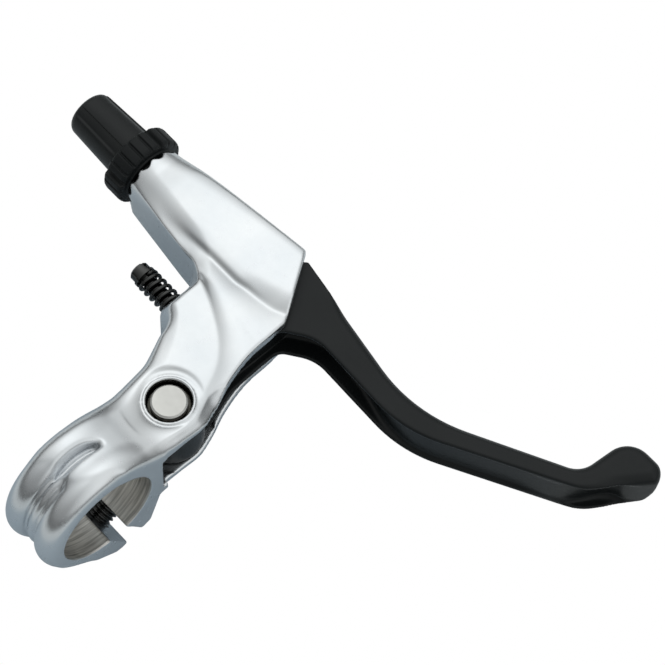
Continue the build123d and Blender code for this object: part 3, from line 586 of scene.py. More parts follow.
def arm_and_head(x, y, z, step):
    """Distance field of arm and head: the plan outline under the height field, with rounded edges, narrowed
    to a cone at the boss and cut off outboard of the two cheeks."""
    plan_x, plan_y = x[:, :, 0], y[:, :, 0]
    inboard, front, upper, lower = plan_distances(plan_x, plan_y)
    outboard = np.minimum(CLAMP_HALF - plan_x, upper)
    heights = sunk_heights(plan_x, plan_y, step, inboard, front, outboard)
    lean = np.sqrt(1 + sum(slope ** 2 for slope in np.gradient(heights, step)))
    top = (z - heights[:, :, None]) / lean[:, :, None]
    edge = table(plan_y, [0, 25, 34, 40, 45], [2.6, 2.4, 1.2, 0.7, 0.4])
    edge = edge + ease(plan_x, -9.0, -16.0) * (0.4 - edge) * ease(plan_y, 38.0, 44.0)
    draft = WALL_DRAFT * ease(plan_y, 31.0, 38.0) * ease(plan_y, 49.5, 44.0)
    side = inboard[:, :, None] + draft[:, :, None] * np.maximum(z - WALL_DRAFT_FROM, 0)
    body = meet(side, top, edge[:, :, None])
    front_edge = table(plan_x, [BOSS_END, -40, -34, -26, -10], [1.2, 1.2, 1.0, 0.8, 0.6])
    fuller = 0.9 * ease(z, 4.0, -2.0) * ease(x, -24.0, BOSS_END)
    body = meet(body, front[:, :, None] - fuller, front_edge[:, :, None])
    opened = FAR * np.maximum(x - NOSE_OPEN_X, 0) ** 2 / NOSE_OPEN_LENGTH ** 2
    nose_radius = BOSS_RADIUS + NOSE_SLOPE * (x - BOSS_END) + opened
    body = meet(body, np.hypot(y - CABLE_Y, np.maximum(z, 0)) - nose_radius, 0.8)
    boss = meet(np.hypot(y - CABLE_Y, z) - BOSS_RADIUS + 0.05, x - BOSS_END - 5.0, 3.0)
    body = blend(body, boss, 1.0)
    body = meet(body, BOSS_END - x, 0.2)
    body = meet(body, ARM_BOTTOM - z, 1.2)
    outside = np.where(z > 0, upper[:, :, None], np.maximum(lower[:, :, None], LOWER_CHEEK_START - y))
    return cut(body, outside, 0.35)


def join_clamp(body, x, y, z, step):
    """The arm ends on the clamp in a tongue between the ridges, whose plan outline is softened, and blends
    into the clamp there. A scoop beside the tongue sinks as a squared parabola across its curved middle."""
    plan_x, plan_y = x[:, :, 0], y[:, :, 0]
    cover = np.array([
        (FAR, 150), (FAR, 4.6), (CLAMP_HALF, 4.6), (6.1, 3.0), (5.3, 0.5), (3.8, -2.2), (2.5, -4.6),
        (1.5, -6.5), (0.9, -7.2), (0.5, -5.7), (0.1, -3.3), (-0.1, -0.4), (-0.2, 2.5), (-0.2, 4.7),
        (-0.35, 5.5), (-0.9, 5.3), (-1.5, 4.6), (-2.4, 2.3), (-2.7, -0.2), (-2.6, -3.1), (-2.4, -5.3),
        (-2.4, -9.5), (-80, -9.5), (-80, 150),
    ])
    cover = soften(outline_distance(cover, plan_x, plan_y), 0.6 / step)
    seam = 1.2 - 0.3 * ease(x, -0.8, -2.0)
    body = meet(body, cover[:, :, None], seam)
    body = blend(body, clamp_field(x, y, z), seam + ease(x, -4.0, -6.0))
    scoop_y = [-10, -6.0, -3.2, -0.3, 2.4, 4.6, 6.4]
    from_scoop = plan_x - table(plan_y, scoop_y, [-1.2, -1.4, -1.6, -1.6, -1.4, -0.9, -0.3])
    from_scoop = from_scoop / table(plan_y, scoop_y, [1.1, 1.4, 1.8, 1.8, 1.7, 1.4, 1.2])
    scoop = table(plan_y, scoop_y, [0, 0.3, 0.7, 0.9, 0.8, 0.4, 0])
    scoop = scoop * np.clip(1 - from_scoop ** 2, 0, 1) ** 2
    body = body + scoop[:, :, None] * ease(z, 9.0, 11.0)
    return meet(body, x - CLAMP_HALF, 0.6)


def seat_pivot(body, pivot, y, z):
    """The pivot's seat: a cylinder blended on for the boss, a cone cut away over it for the spot face, and
    round the recess a thin ring cut for the groove and another added for the rim."""
    boss = np.maximum(pivot - PIVOT_BOSS_RADIUS, np.maximum(z - PIVOT_TOP, PIVOT_FOOT - z))
    body = blend(body, boss, 0.8)
    ahead = ease(y - PIVOT_Y, -4.0, 3.0)
    flare = 1.6 - ahead
    spot = (pivot - SPOT_RADIUS - ahead - flare * (z - PIVOT_TOP)) / np.sqrt(1 + flare ** 2)
    spot = np.maximum(np.maximum(PIVOT_TOP - z, spot), pivot - SPOT_LIMIT)
    body = -blend(-body, spot, 0.7)
    groove = np.hypot(pivot - RIM_GROOVE_RADIUS, z - PIVOT_TOP - 0.1) - RIM_GROOVE_HALF
    body = cut(body, groove, FINE_EDGE)
    rim = np.hypot(pivot - RIM_RADIUS, z - PIVOT_TOP + 0.05) - RIM_HALF
    return blend(body, rim, FINE_EDGE)


def cut_cavity(body, pivot, x, y, z):
    """The bar's bore and slot, the room for the lever between the cheeks, and the pivot's recess and hole:
    each a round or an outline between flat ends, cut from the body."""
    along_bolt, above = across_slot(y, z)
    body = cut(body, np.hypot(y, z) - BAR_RADIUS, WIDE_EDGE)
    body = cut(body, np.maximum(np.abs(along_bolt - SLOT_OFFSET) - SLOT_HALF, above), WIDE_EDGE)
    plan_x, plan_y = x[:, :, 0], y[:, :, 0]
    hub_room = HUB_RADIUS + HUB_GAP
    room = rounded_outline([
        (FAR, PIVOT_Y - HUB_FACE_ROOM, 0), (PIVOT_X, PIVOT_Y - HUB_FACE_ROOM, 0), (PIVOT_X, PIVOT_Y, 0),
        (PIVOT_X - hub_room, PIVOT_Y, 0), (PIVOT_X - hub_room, PIVOT_Y + 6.0, 3.0),
        (CAVITY_LEFT, REACH_Y - 3.3, 3.0), (CAVITY_LEFT, CABLE_Y + 1.8, 4.0),
        (CAVITY_LEFT + CAVITY_CORNER, CAVITY_FRONT, 2.0), (FAR, CAVITY_FRONT, 0),
    ])
    space = outline_distance(room, plan_x, plan_y)
    space = np.minimum(space, (pivot - hub_room)[:, :, 0])
    window = np.maximum(np.abs(plan_y - PIVOT_Y - HUB_WINDOW_SET) - HUB_WINDOW_HALF, plan_x - PIVOT_X)
    space = np.minimum(space, window)[:, :, None]
    body = cut(body, np.maximum(space, np.abs(z) - CAVITY_HALF), WIDE_EDGE)
    body = cut(body, np.maximum(pivot - HUB_FACE_ROOM, np.abs(z) - HUB_FACE_HALF), SMALL_EDGE)
    body = cut(body, np.maximum(pivot - RECESS_RADIUS, RECESS_FLOOR - z), SMALL_EDGE)
    return cut(body, pivot - PIN_HOLE, SMALL_EDGE)


def cut_holes(body, x, y, z):
    """The holes for bolt, reach screw, adjuster and cable, the slot and room for the cable's end, and the
    scallops round the boss: one round dip for each equal share of the turn."""
    along_bolt, above = across_slot(y, z)
    from_bolt = np.hypot(x, above + BOLT_REACH)
    through = np.abs(along_bolt - BOLT_HOLE_MIDDLE) - BOLT_HOLE_HALF
    body = cut(body, np.maximum(from_bolt - BOLT_HOLE, through), SMALL_EDGE)
    body = cut(body, np.maximum(from_bolt - BOLT_HEAD_ROOM, along_bolt - BOLT_SEAT), WIDE_EDGE)
    from_screw = np.hypot(y - REACH_Y, z)
    body = cut(body, np.maximum(from_screw - REACH_HOLE, x - PIVOT_X), HOLE_EDGE)
    from_cable = np.hypot(y - CABLE_Y, z)
    body = cut(body, np.maximum(from_cable - ADJUSTER_HOLE, x - BOSS_END - ADJUSTER_DEPTH), SLOT_EDGE)
    body = cut(body, np.maximum(from_cable - CABLE_HOLE, x - CAVITY_LEFT - CAVITY_CORNER), HOLE_EDGE)
    slot = np.maximum(np.maximum(np.abs(y - CABLE_Y) - CABLE_SLOT_HALF, z), x - NIPPLE_X)
    body = cut(body, slot, SLOT_EDGE)
    nipple = np.hypot(x - NIPPLE_X, y - CABLE_Y)
    body = cut(body, np.maximum(nipple - NIPPLE_ROOM, z), SLOT_EDGE)
    sector = math.radians(360.0 / BOSS_SCALLOPS)
    angle = np.arctan2(y - CABLE_Y, z)
    off = (np.mod(angle, sector) - sector / 2) * np.maximum(from_cable, 0.1)
    scallop = np.hypot(x - BOSS_END + SCALLOP_SET, off) - SCALLOP_RADIUS
    return cut(body, np.maximum(scallop, SCALLOP_INNER - from_cable), HOLE_EDGE)


def bracket_field(x, y, z, step):
    """Distance field of the whole bracket: arm and head joined to the clamp, then the pivot's seat, the
    cavity and the holes."""
    pivot = np.hypot(x - PIVOT_X, y - PIVOT_Y)
    body = arm_and_head(x, y, z, step)
    body = join_clamp(body, x, y, z, step)
    body = seat_pivot(body, pivot, y, z)
    body = cut_cavity(body, pivot, x, y, z)
    return cut_holes(body, x, y, z)


def make_bracket():
    """The bracket's surface from its distance field."""
    x, y, z = field_grid(BRACKET_LOW, BRACKET_HIGH, BRACKET_STEP)
    field = bracket_field(x, y, z, BRACKET_STEP)
    return mesh_piece("bracket", *field_surface(field, np.array(BRACKET_LOW), BRACKET_STEP))


def lever_field(x, y, z):
    """Distance field of the lever: the plan outlines of blade, arm and hub between two flat faces, the
    front edges rounded for the fingers, the tip's end sloping under by a power of the depth, and a channel
    along the back whose depth is a function of X."""
    plan_x, plan_y = x[:, :, 0], y[:, :, 0]
    root = CAVITY_FRONT - ROOT_GAP
    back = [
        (HOOK_X, REACH_Y, 0), (HOOK_X, CABLE_Y - 6.0, 3.0), (7.0, CABLE_Y - 1.6, 9.0),
        (BEND_X + 0.85, BEND_Y - 2.4, 29.6), (TIP_X - 3.2, TIP_Y - 9.6, 10.0),
        (TIP_X + 5.0, TIP_Y + 2.4, 0),
    ]
    front = [
        (-6.9, root, 0), (BEND_X - 0.85, BEND_Y + 2.4, 34.4), (TIP_X - 6.9, TIP_Y - 6.8, 5.0),
        (TIP_X - 5.8, TIP_Y + 5.8, 5.4), (TIP_X + 5.0, TIP_Y + 5.8, 3.2),
    ]
    inner = [
        (LEVER_LEFT, REACH_Y, 0), (LEVER_LEFT, CABLE_Y, 4.0), (LEVER_LEFT + CAVITY_CORNER, root - 2.0, 1.0),
    ]
    blade = outline_distance(rounded_outline(front + back[::-1] + inner), plan_x, plan_y)
    behind = rounded_outline([(HOOK_X, -FAR, 0)] + back[1:] + [(130, TIP_Y + 2.4, 0), (130, -FAR, 0)])
    behind = outline_distance(behind, plan_x, plan_y)
    arm = outline_distance(rounded_outline([
        (PIVOT_X - ARM_HALF, PIVOT_Y, 0), (PIVOT_X + ARM_HALF, PIVOT_Y, 0),
        (PIVOT_X + 1.8, REACH_Y - 2.5, 12.0), (HOOK_X, REACH_Y + ARM_HALF, 0),
        (LEVER_LEFT, REACH_Y + ARM_HALF, 0), (LEVER_LEFT, REACH_Y - 2.5, 6.0),
        (PIVOT_X - ARM_HALF, PIVOT_Y + ARM_HALF, 4.0),
    ]), plan_x, plan_y)
    middle = np.interp(plan_x, [-7, 7, 20, BEND_X, 64, 75], [60.5, 60.2, 58.5, 57.0, 73.5, 82.0])
    round_front = ease(plan_y - middle, -1.5, 2.0) * ease(plan_x, 0.0, 8.0)
    edge = (0.4 + 2.0 * round_front + 0.8 * ease(plan_x, 62.0, 70.0) * (1 - round_front))[:, :, None]
    body = meet(blade[:, :, None], np.abs(z) - LEVER_HALF, edge)
    past_tip = TIP_DIRECTION[0] * (x - TIP_X) + TIP_DIRECTION[1] * (y - TIP_Y)
    under = np.clip((LEVER_HALF - z) / (2 * LEVER_HALF), 0, 1)
    body = meet(body, (past_tip - TIP_REACH + TIP_UNDERCUT * under ** TIP_POWER) / TIP_STEEPNESS, 1.0)
    body = np.minimum(body, meet(arm[:, :, None], np.abs(z) - LEVER_HALF, 0.4))
    depth = np.interp(plan_x, [1, 8, 18, 26, 34, 54, 60.5, 63, 65.5, 68.5, 71, 73],
                      [4.4, 4.4, 3.7, 2.0, 1.0, 0.9, 0.2, 0.5, 3.0, 2.6, 0.6, 0.0])
    channel = meet((behind - soften(depth, 3.0))[:, :, None], np.abs(z) - CHANNEL_HALF, 1.3)
    body = cut(body, np.maximum(channel, CHANNEL_START - x), WIDE_EDGE)
    pivot = np.hypot(x - PIVOT_X, y - PIVOT_Y)
    body = np.minimum(body, meet(pivot - HUB_RADIUS, np.abs(z) - HUB_HALF, 0.3))
    body = cut(body, pivot - BUSH_HOLE, FINE_EDGE)
    body = cut(body, np.maximum(pivot - BUSH_FLANGE_RADIUS, BUSH_FLANGE_SEAT - np.abs(z)), FINE_EDGE)
    nipple = np.hypot(x - NIPPLE_X, y - CABLE_Y)
    body = cut(body, np.maximum(nipple - NIPPLE_RADIUS, z - NIPPLE_TOP), HOLE_EDGE)
    cable_way = np.maximum(np.abs(y - CABLE_Y) - CABLE_WAY_HALF, z - CABLE_WAY_TOP)
    return cut(body, np.maximum(cable_way, x - NIPPLE_X), HOLE_EDGE)


def make_lever():
    """The lever's surface from its distance field."""
    x, y, z = field_grid(LEVER_LOW, LEVER_HIGH, LEVER_STEP)
    return mesh_piece("lever", *field_surface(lever_field(x, y, z), np.array(LEVER_LOW), LEVER_STEP))


def turned(name, profile, columns, shape):
    """A piece turned about the cable's line: each profile point (x, radius) is carried round a circle. The
    function shape gives, for every profile point and angle, how much the radius shrinks there. Angles
    start at the top and run towards the front."""
    profile = np.array(profile, float)
    angle = np.linspace(0, 2 * np.pi, columns, endpoint=False)[None]
    radius = profile[:, 1:2] - shape(profile, angle)
    across, up = CABLE_Y + radius * np.sin(angle), radius * np.cos(angle)
    points = np.stack([profile[:, 0:1] + 0 * angle, across, up], axis=-1)
    return mesh_piece(name, points.reshape(-1, 3), grid_quads(len(profile), columns))


def dip(angle, centre, half_width):
    """A narrow groove over the angle: 1 at its centre, falling by the exponential of a fourth power."""
    off = np.mod(angle - centre + np.pi, 2 * np.pi) - np.pi
    return np.exp(-np.abs(off / half_width) ** 4)


def make_ring():
    """The adjuster's finger ring: a profile turned round the cable's line, with grooves at equal angles,
    the first of every lobe wide and deep, and a plain flange towards the boss."""
    start, back, end = RING_START, RING_BACK, RING_END
    profile = [(end, ADJUSTER_HOLE), (end, 6.0), (end, 7.6), (end + 0.12, 8.0), (end + 0.45, 8.3)]
    profile += [(end + 0.9, RING_RADIUS)]
    profile += [(x, RING_RADIUS) for x in np.linspace(end + 1.3, back - 0.9, 8)]
    profile += [(back - 0.45, 8.3), (back - 0.12, 8.0), (back, 7.6), (back, 6.6), (back + 0.1, 6.42)]
    profile += [(start - 0.2, FLANGE_RADIUS), (start, 6.2), (start, ADJUSTER_HOLE), (end, ADJUSTER_HOLE)]

    def grooves(points, angle):
        outer = ease(points[:, 1:2], 7.2, 8.2)
        depth = 0
        for index in range(RING_GROOVES):
            deep = index % GROOVES_PER_LOBE == 0
            centre = math.radians(FIRST_GROOVE + 360.0 / RING_GROOVES * index)
            half = math.radians(LOBE_GROOVE_HALF if deep else GROOVE_HALF)
            depth = depth + (LOBE_GROOVE_DEPTH if deep else GROOVE_DEPTH) * dip(angle, centre, half)
        return outer * depth

    return turned("ring", profile, 720, grooves)


def make_barrel():
    """The adjuster's barrel, a profile turned round the cable's line: a straight taper with a quarter
    circle at its tip and shallow panels, a zigzag for the thread behind the ring, and the housing's bore."""
    base, tip, nose_round = BARREL_BASE, BARREL_TIP, BARREL_ROUND
    taper = (BARREL_BASE_RADIUS - BARREL_TIP_RADIUS) / (base - tip - nose_round)
    grip_x = np.linspace(base, tip + nose_round, 14)
    grip = [(x, BARREL_BASE_RADIUS - taper * (base - x)) for x in grip_x]
    nose = [(tip + nose_round * (1 - math.sin(t)), BARREL_TIP_RADIUS - nose_round * (1 - math.cos(t)))
            for t in np.linspace(0, np.pi / 2, 12)[1:]]
    thread_x = np.linspace(THREAD_START, base + 0.2, 200)
    thread = [(x, THREAD_RADIUS - THREAD_DEPTH * abs(x / THREAD_PITCH % 1.0 - 0.5) * 2) for x in thread_x]
    bore_end = tip + HOUSING_DEPTH
    profile = [(THREAD_START, CABLE_BORE), (THREAD_START, 4.4)] + thread
    profile += [(base, THREAD_RADIUS), (base, 5.5), (base - 0.2, BARREL_BASE_RADIUS)] + grip[1:] + nose
    profile += [(tip, HOUSING_RADIUS + 0.15), (tip + 0.15, HOUSING_RADIUS), (bore_end, HOUSING_RADIUS)]
    profile += [(bore_end, CABLE_BORE), (THREAD_START, CABLE_BORE)]

    def panels(points, angle):
        x, radius = points[:, 0:1], points[:, 1:2]
        along = ease(x, tip + 0.4, tip + 2.2) * (x < base - 0.9) * (radius > 3.3)
        depth = 0
        for index in range(BARREL_PANELS):
            centre = math.radians(BARREL_FIRST_PANEL + 360.0 / BARREL_PANELS * index)
            off = np.degrees(np.mod(angle - centre + np.pi, 2 * np.pi) - np.pi)
            depth = depth + BARREL_PANEL_DEPTH * ease(off, -16.0, -9.0) * ease(off, 13.2, 12.0)
        return along * depth

    return turned("barrel", profile, 360, panels)


def make_spring():
    """The reach screw's spring: a round wire carried along a helix whose turns close up at both ends."""
    columns, rows = 12, 420
    end = REACH_SEAT_X - SPRING_WIRE
    start = REACH_SEAT_X - SPRING_LENGTH + SPRING_WIRE
    t = np.linspace(0, 1, rows)
    angle = 2 * np.pi * SPRING_TURNS * t
    along = start + (end - start) * np.interp(t, [0, 0.12, 0.88, 1], [0, 0.06, 0.94, 1])
    path = np.stack([along, REACH_Y + SPRING_COIL * np.sin(angle), SPRING_COIL * np.cos(angle)], axis=-1)
    ahead = np.gradient(path, axis=0)
    ahead /= np.linalg.norm(ahead, axis=1, keepdims=True)
    outward = np.stack([0 * angle, np.sin(angle), np.cos(angle)], axis=-1)
    side = np.cross(ahead, outward)
    around = np.linspace(0, 2 * np.pi, columns, endpoint=False)[None, :, None]
    thin = np.clip(np.minimum(t, 1 - t) * rows / 2, 0.02, 1)[:, None, None]
    section = np.cos(around) * outward[:, None] + np.sin(around) * side[:, None]
    points = path[:, None] + SPRING_WIRE * thin * section
    return mesh_piece("spring", points.reshape(-1, 3), grid_quads(rows, columns))


def make_bolt():
    """The clamp bolt: a profile carried round its axis, with a notch that climbs one pitch per turn for the
    thread, and a six-sided socket where the circle gives way to a hexagon."""
    columns = 120
    seat = BOLT_SEAT
    shank = np.linspace(BOLT_END, seat + 0.6, 330)
    head = [seat, seat, -9.9, -10.5, -10.9, -10.9, -10.85, -8.7, -8.7]
    head_radius = [BOLT_RADIUS, 4.7, 4.75, 4.5, 4.05, 3.2, 2.5, 2.5, 0.0]
    along = np.concatenate([[BOLT_END, BOLT_END], shank, head])
    radius = np.concatenate([[0, 2.3], BOLT_RADIUS + 0 * shank, head_radius])
    hexagonal = np.concatenate([np.zeros(len(shank) + 7), [0, 1, 1, 0]])[:, None]
    run_out = ease(shank, seat + 0.8, seat + 1.6) * ease(shank, BOLT_END, BOLT_END - 0.8)
    threaded = np.concatenate([[0, 0], run_out, np.zeros(len(head))])
    angle = np.linspace(0, 2 * np.pi, columns, endpoint=False)[None]
    phase = np.mod(along[:, None] / BOLT_PITCH - angle / (2 * np.pi), 1.0)
    notch = 0.5 * np.clip(1.35 * (1 - np.abs(2 * phase - 1)) - 0.1, 0, 1)
    sector = np.mod(angle, np.pi / 3) - np.pi / 6
    size = radius[:, None] * (1 + hexagonal * (1 / np.cos(sector) - 1)) - threaded[:, None] * notch
    cosine, sine = math.cos(SLOT_TILT), math.sin(SLOT_TILT)
    reach = -BOLT_REACH + size * np.sin(angle)
    points = np.stack([size * np.cos(angle), along[:, None] * cosine - reach * sine,
                       along[:, None] * sine + reach * cosine], axis=-1)
    return mesh_piece("bolt", points.reshape(-1, 3), grid_quads(len(along), columns))


def look_at_photo():
    """A camera where the photo was taken, from the fitted bearing, height, roll and distance."""
    bearing, height, roll = (math.radians(a) for a in (CAMERA_BEARING, CAMERA_HEIGHT, CAMERA_ROLL))
    level = math.cos(height)
    back = Vector((math.sin(bearing) * level, -math.cos(bearing) * level, math.sin(height)))
    right = Vector((math.cos(bearing), math.sin(bearing), 0))
    up = back.cross(right)
    turned_right = math.cos(roll) * right + math.sin(roll) * up
    turned_up = math.cos(roll) * up - math.sin(roll) * right
    place = Vector((CAMERA_TARGET[0] * MM, CAMERA_TARGET[1] * MM, 0)) + back * CAMERA_DISTANCE * MM
    data = bpy.data.cameras.new("camera")
    data.sensor_width = CAMERA_SENSOR
    data.lens = CAMERA_LENS
    data.clip_start = 0.01
    camera = bpy.data.objects.new("camera", data)
    axes = Matrix((turned_right, turned_up, back)).transposed().to_4x4()
    camera.matrix_world = Matrix.Translation(place) @ axes
    bpy.context.scene.collection.objects.link(camera)
    bpy.context.scene.camera = camera


class Shader:
    """A node tree, of a material or of the sky, with short ways to add and join nodes."""

    def __init__(self, owner, surface):
        owner.use_nodes = True
        self.tree = owner.node_tree
        self.surface = self.tree.nodes[surface]

    def node(self, kind, **settings):
        """A new node with its settings."""
        made = self.tree.nodes.new(kind)
        for key, value in settings.items():
            setattr(made, key, value)
        return made

    def join(self, source, target):
        """Links an output to an input, or sets the input to a plain value."""
        if isinstance(source, bpy.types.NodeSocket):
            self.tree.links.new(source, target)
        else:
            target.default_value = source

    def noise(self, scale, detail=3.0, stretch=(1, 1, 1)):
        """Noise over the object's own coordinates, scale in waves per metre."""
        place = self.node("ShaderNodeTexCoord")
        mapping = self.node("ShaderNodeMapping")
        mapping.inputs["Scale"].default_value = stretch
        self.join(place.outputs["Object"], mapping.inputs["Vector"])
        noise = self.node("ShaderNodeTexNoise")
        noise.inputs["Scale"].default_value = scale
        noise.inputs["Detail"].default_value = detail
        self.join(mapping.outputs["Vector"], noise.inputs["Vector"])
        return noise.outputs["Fac"]

    def ramp(self, value, stops):
        """Colours over a value, from (place, colour) stops."""
        ramp = self.node("ShaderNodeValToRGB")
        while len(ramp.color_ramp.elements) < len(stops):
            ramp.color_ramp.elements.new(0.5)
        for element, (place, colour) in zip(ramp.color_ramp.elements, stops):
            element.position = place
            element.color = (*colour, 1)
        self.join(value, ramp.inputs["Fac"])
        return ramp.outputs["Color"]

    def span(self, value, low, high):
        """A value from 0 to 1 mapped to a range."""
        span = self.node("ShaderNodeMapRange")
        span.inputs["To Min"].default_value = low
        span.inputs["To Max"].default_value = high
        self.join(value, span.inputs["Value"])
        return span.outputs["Result"]

    def share(self, value, start, stop):
        """How far a value has gone from one number to another, kept between 0 and 1."""
        share = self.node("ShaderNodeMapRange")
        share.inputs["From Min"].default_value = start
        share.inputs["From Max"].default_value = stop
        self.join(value, share.inputs["Value"])
        return share.outputs["Result"]

    def mix(self, factor, first, second, data_type="RGBA", blend_type="MIX"):
        """Two colours or numbers: the first turning into the second by a factor, or added or multiplied."""
        mix = self.node("ShaderNodeMix", data_type=data_type, blend_type=blend_type)
        first_input, output = (6, 2) if data_type == "RGBA" else (2, 0)
        self.join(factor, mix.inputs["Factor"])
        self.join(first, mix.inputs[first_input])
        self.join(second, mix.inputs[first_input + 1])
        return mix.outputs[output]

    def mix_surfaces(self, factor, first, second):
        """Two surfaces mixed by a factor."""
        mix = self.node("ShaderNodeMixShader")
        for source, target in zip((factor, first, second), mix.inputs):
            self.join(source, target)
        return mix.outputs["Shader"]

    def bump(self, value, strength, depth):
        """Fine relief from a value, depth in metres."""
        bump = self.node("ShaderNodeBump")
        bump.inputs["Strength"].default_value = strength
        bump.inputs["Distance"].default_value = depth
        self.join(value, bump.inputs["Height"])
        self.join(bump.outputs["Normal"], self.surface.inputs["Normal"])


def new_finish(name):
    """A new material, and the node tree that its finish is made in."""
    material = bpy.data.materials.new(name)
    return material, Shader(material, "Principled BSDF")


def satin_finish(name, dark, light, rough, metallic=1.0, grain=900.0, depth=0.00002, gloss=0.5):
    """A satin finish: colour drifts over a broad noise, roughness over a fine one, with grain as a bump."""
    material, made = new_finish(name)
    inputs = made.surface.inputs
    made.join(made.ramp(made.noise(90.0, 2.0), [(0.3, dark), (0.7, light)]), inputs["Base Color"])
    made.join(metallic, inputs["Metallic"])
    made.join(gloss, inputs["Specular IOR Level"])
    made.join(made.span(made.noise(grain, 3.0), *rough), inputs["Roughness"])
    made.bump(made.noise(grain * 3, 2.0), 0.15, depth)
    return material


def silver_finish():
    """Satin silver all over; inside the clamp bore a warmer tone with fine turning marks, by the distance
    from the bar's axis; and painted shade, near black, inside the pivot's recess, by the distance from a
    point over its floor."""
    material, made = new_finish("satin_silver")
    inputs = made.surface.inputs
    place = made.node("ShaderNodeTexCoord").outputs["Object"]
    split = made.node("ShaderNodeSeparateXYZ")
    made.join(place, split.inputs["Vector"])
    flat = made.node("ShaderNodeCombineXYZ")
    made.join(split.outputs["Y"], flat.inputs["Y"])
    made.join(split.outputs["Z"], flat.inputs["Z"])
    from_axis = made.node("ShaderNodeVectorMath", operation="LENGTH")
    made.join(flat.outputs["Vector"], from_axis.inputs[0])
    in_bore = made.share(from_axis.outputs["Value"], (BAR_RADIUS + 0.18) * MM, (BAR_RADIUS + 0.08) * MM)
    from_pivot = made.node("ShaderNodeVectorMath", operation="DISTANCE")
    made.join(place, from_pivot.inputs[0])
    made.join((PIVOT_X * MM, PIVOT_Y * MM, (RECESS_FLOOR + 0.6) * MM), from_pivot.inputs[1])
    edge = ((RECESS_RADIUS + 0.12) * MM, (RECESS_RADIUS + 0.02) * MM)
    recess_shade = made.share(from_pivot.outputs["Value"], *edge)
    satin = made.ramp(made.noise(90.0, 2.0), [(0.3, (0.7, 0.72, 0.74)), (0.7, (0.76, 0.77, 0.78))])
    marks = made.noise(1.0, 4.0, (2600.0, 110.0, 110.0))
    turned_tone = made.ramp(marks, [(0.3, (0.36, 0.35, 0.33)), (0.7, (0.85, 0.83, 0.79))])
    # Painted shade: near black inside the pivot's recess, standing in for the shade that falls there
    outside = made.mix(recess_shade, satin, (0.06, 0.058, 0.05, 1))
    made.join(made.mix(in_bore, outside, turned_tone), inputs["Base Color"])
    made.join(1.0, inputs["Metallic"])
    satin_rough = made.span(made.noise(700.0), 0.22, 0.3)
    turned_rough = made.span(marks, 0.35, 0.5)
    made.join(made.mix(in_bore, satin_rough, turned_rough, "FLOAT"), inputs["Roughness"])
    made.bump(made.mix(in_bore, made.noise(2600.0, 2.0), marks, "FLOAT"), 0.12, 0.00003)
    return material


def floor_finish():
    """White to the camera, clear from below, and in reflections a cool grey, darker near the part as
    painted shade, that turns paler further out.
    """
    material, made = new_finish("floor")
    place = made.node("ShaderNodeTexCoord")
    away = made.node("ShaderNodeVectorMath", operation="LENGTH")
    made.join(place.outputs["Object"], away.inputs[0])
    # Painted shade: the floor's tone is darker and cooler near the part, as its shadow, and paler further
    # out
    paler = made.share(away.outputs["Value"], FLOOR_DARK_TO * MM, FLOOR_PALE_FROM * MM)
    tone = made.mix(paler, (0.45, 0.52, 0.58, 1), (0.78, 0.81, 0.82, 1))
    made.join(tone, made.surface.inputs["Base Color"])
    made.join(0.9, made.surface.inputs["Roughness"])
    glow = made.node("ShaderNodeEmission")
    made.join((1, 1, 1, 1), glow.inputs["Color"])
    ray = made.node("ShaderNodeLightPath").outputs["Is Camera Ray"]
    seen = made.mix_surfaces(ray, made.surface.outputs["BSDF"], glow.outputs["Emission"])
    clear = made.node("ShaderNodeBsdfTransparent")
    from_below = made.node("ShaderNodeNewGeometry").outputs["Backfacing"]
    sides = made.mix_surfaces(from_below, seen, clear.outputs["BSDF"])
    made.join(sides, made.tree.nodes["Material Output"].inputs["Surface"])
    return material


def dress(piece, material):
    """Gives a piece one material."""
    piece.data.materials.clear()
    piece.data.materials.append(material)


def sky_lobe(sky, place, towards, stops):
    """Brightness of the sky by how nearly a direction points one way, from (nearness, level) stops."""
    facing = sky.node("ShaderNodeVectorMath", operation="DOT_PRODUCT")
    sky.join(place, facing.inputs[0])
    sky.join(Vector(towards).normalized(), facing.inputs[1])
    return sky.ramp(facing.outputs["Value"], [(at, (level * 0.985, level, level)) for at, level in stops])


def make_sky():
    """A sky bright above and behind, with a weaker light from the open end of the handlebar, dimmed towards
    the horizon, and plain white to the camera."""
    world = bpy.data.worlds.new("studio")
    bpy.context.scene.world = world
    sky = Shader(world, "Background")
    place = sky.node("ShaderNodeTexCoord").outputs["Generated"]
    above = sky_lobe(sky, place, (-0.38, 0.36, 0.85), [
        (0.0, 0.3), (0.2, 0.34), (0.5, 0.5), (0.76, 0.72), (0.83, 0.82), (0.9, 0.96), (0.94, 1.08),
        (1.0, 1.3),
    ])
    beside = sky_lobe(sky, place, (0.85, 0.12, 0.42), [(0.0, 0.0), (0.55, 0.03), (0.85, 0.35), (1.0, 0.6)])
    horizon = sky_lobe(sky, place, (0.0, 0.0, 1.0), [(0.0, 0.3), (0.12, 0.4), (0.34, 1.0), (1.0, 1.0)])
    both = sky.mix(1.0, above, beside, blend_type="ADD")
    dimmed = sky.mix(1.0, both, horizon, blend_type="MULTIPLY")
    ray = sky.node("ShaderNodeLightPath").outputs["Is Camera Ray"]
    sky.join(sky.mix(ray, dimmed, (1, 1, 1, 1)), sky.surface.inputs["Color"])
    sky.join(1.0, sky.surface.inputs["Strength"])


def make_floor():
    """A square floor just under the part."""
    reach, height = FLOOR_REACH * MM, FLOOR_Z * MM
    signs = [(-1, -1), (1, -1), (1, 1), (-1, 1)]
    mesh = bpy.data.meshes.new("floor")
    mesh.from_pydata([(reach * one, reach * two, height) for one, two in signs], [], [(0, 1, 2, 3)])
    floor = bpy.data.objects.new("floor", mesh)
    bpy.context.scene.collection.objects.link(floor)
    dress(floor, floor_finish())


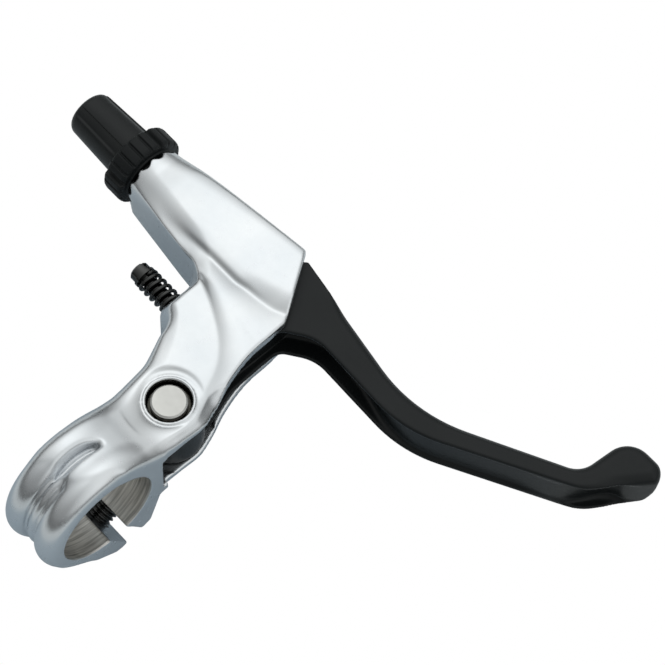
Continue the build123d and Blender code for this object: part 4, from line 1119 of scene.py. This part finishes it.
def studio():
    """Sky, floor and one broad soft light overhead."""
    scene = bpy.context.scene
    scene.view_settings.view_transform = "Standard"
    make_sky()
    make_floor()
    lamp = bpy.data.lights.new("overhead", "AREA")
    lamp.shape = "RECTANGLE"
    lamp.size = LAMP_SIDES[0] * MM
    lamp.size_y = LAMP_SIDES[1] * MM
    lamp.energy = LAMP_POWER
    light = bpy.data.objects.new("overhead", lamp)
    light.location = Vector(LAMP_PLACE) * MM
    aim = Vector(LAMP_TARGET) * MM - light.location
    light.rotation_euler = aim.to_track_quat("-Z", "Y").to_euler()
    scene.collection.objects.link(light)


# Finishes
DEEP_BLACK = (0.007, 0.0085, 0.009)
SOFT_BLACK = (0.010, 0.0115, 0.012)
silver = silver_finish()
black = satin_finish("black_paint", DEEP_BLACK, SOFT_BLACK, (0.3, 0.4), metallic=0.0, gloss=0.22)
moulded = satin_finish("moulded_black", DEEP_BLACK, SOFT_BLACK, (0.4, 0.52), metallic=0.0, grain=700.0,
                       depth=0.00004, gloss=0.2)
anodised = satin_finish("anodised_black", (0.008, 0.0095, 0.010), (0.012, 0.0135, 0.014), (0.34, 0.44),
                        metallic=0.0, gloss=0.26)
steel = satin_finish("brushed_steel", (0.56, 0.55, 0.525), (0.66, 0.65, 0.62), (0.34, 0.5))
zinc = satin_finish("zinc_plate", (0.5, 0.5, 0.5), (0.6, 0.6, 0.6), (0.3, 0.42))
spring_steel = satin_finish("spring_steel", (0.16, 0.16, 0.165), (0.22, 0.22, 0.225), (0.3, 0.42))
oxide = satin_finish("black_oxide", (0.055, 0.055, 0.054), (0.08, 0.08, 0.078), (0.14, 0.2))
nylon = satin_finish("nylon", (0.66, 0.64, 0.58), (0.72, 0.7, 0.64), (0.4, 0.5), metallic=0.0)

# New pieces, each in place of a solid
for piece, body, node, slot, finish in (
    (make_bracket(), "bracket", "bracket_body", "bracket_silver", silver),
    (make_lever(), "lever", "lever_blade", "lever_black", black),
    (make_ring(), "ring", "adjuster_ring", "ring_black", moulded),
    (make_barrel(), "barrel", "adjuster_barrel", "adjuster_black", anodised),
    (make_bolt(), "bracket", "clamp_bolt", "bolt_black", oxide),
):
    dress(piece, finish)
    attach(piece, body)
    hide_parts(node)

# The spring sits between the bracket and the reach screw
spring = make_spring()
dress(spring, oxide)
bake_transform(spring)
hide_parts("reach_spring")

# Solids that stay as they are
for name, material in (("pivot_pin", steel), ("pivot_washer", zinc), ("pivot_clip", spring_steel),
                       ("bush_upper", nylon), ("bush_lower", nylon), ("reach_screw", oxide)):
    dress(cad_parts[name], material)

look_at_photo()
studio()
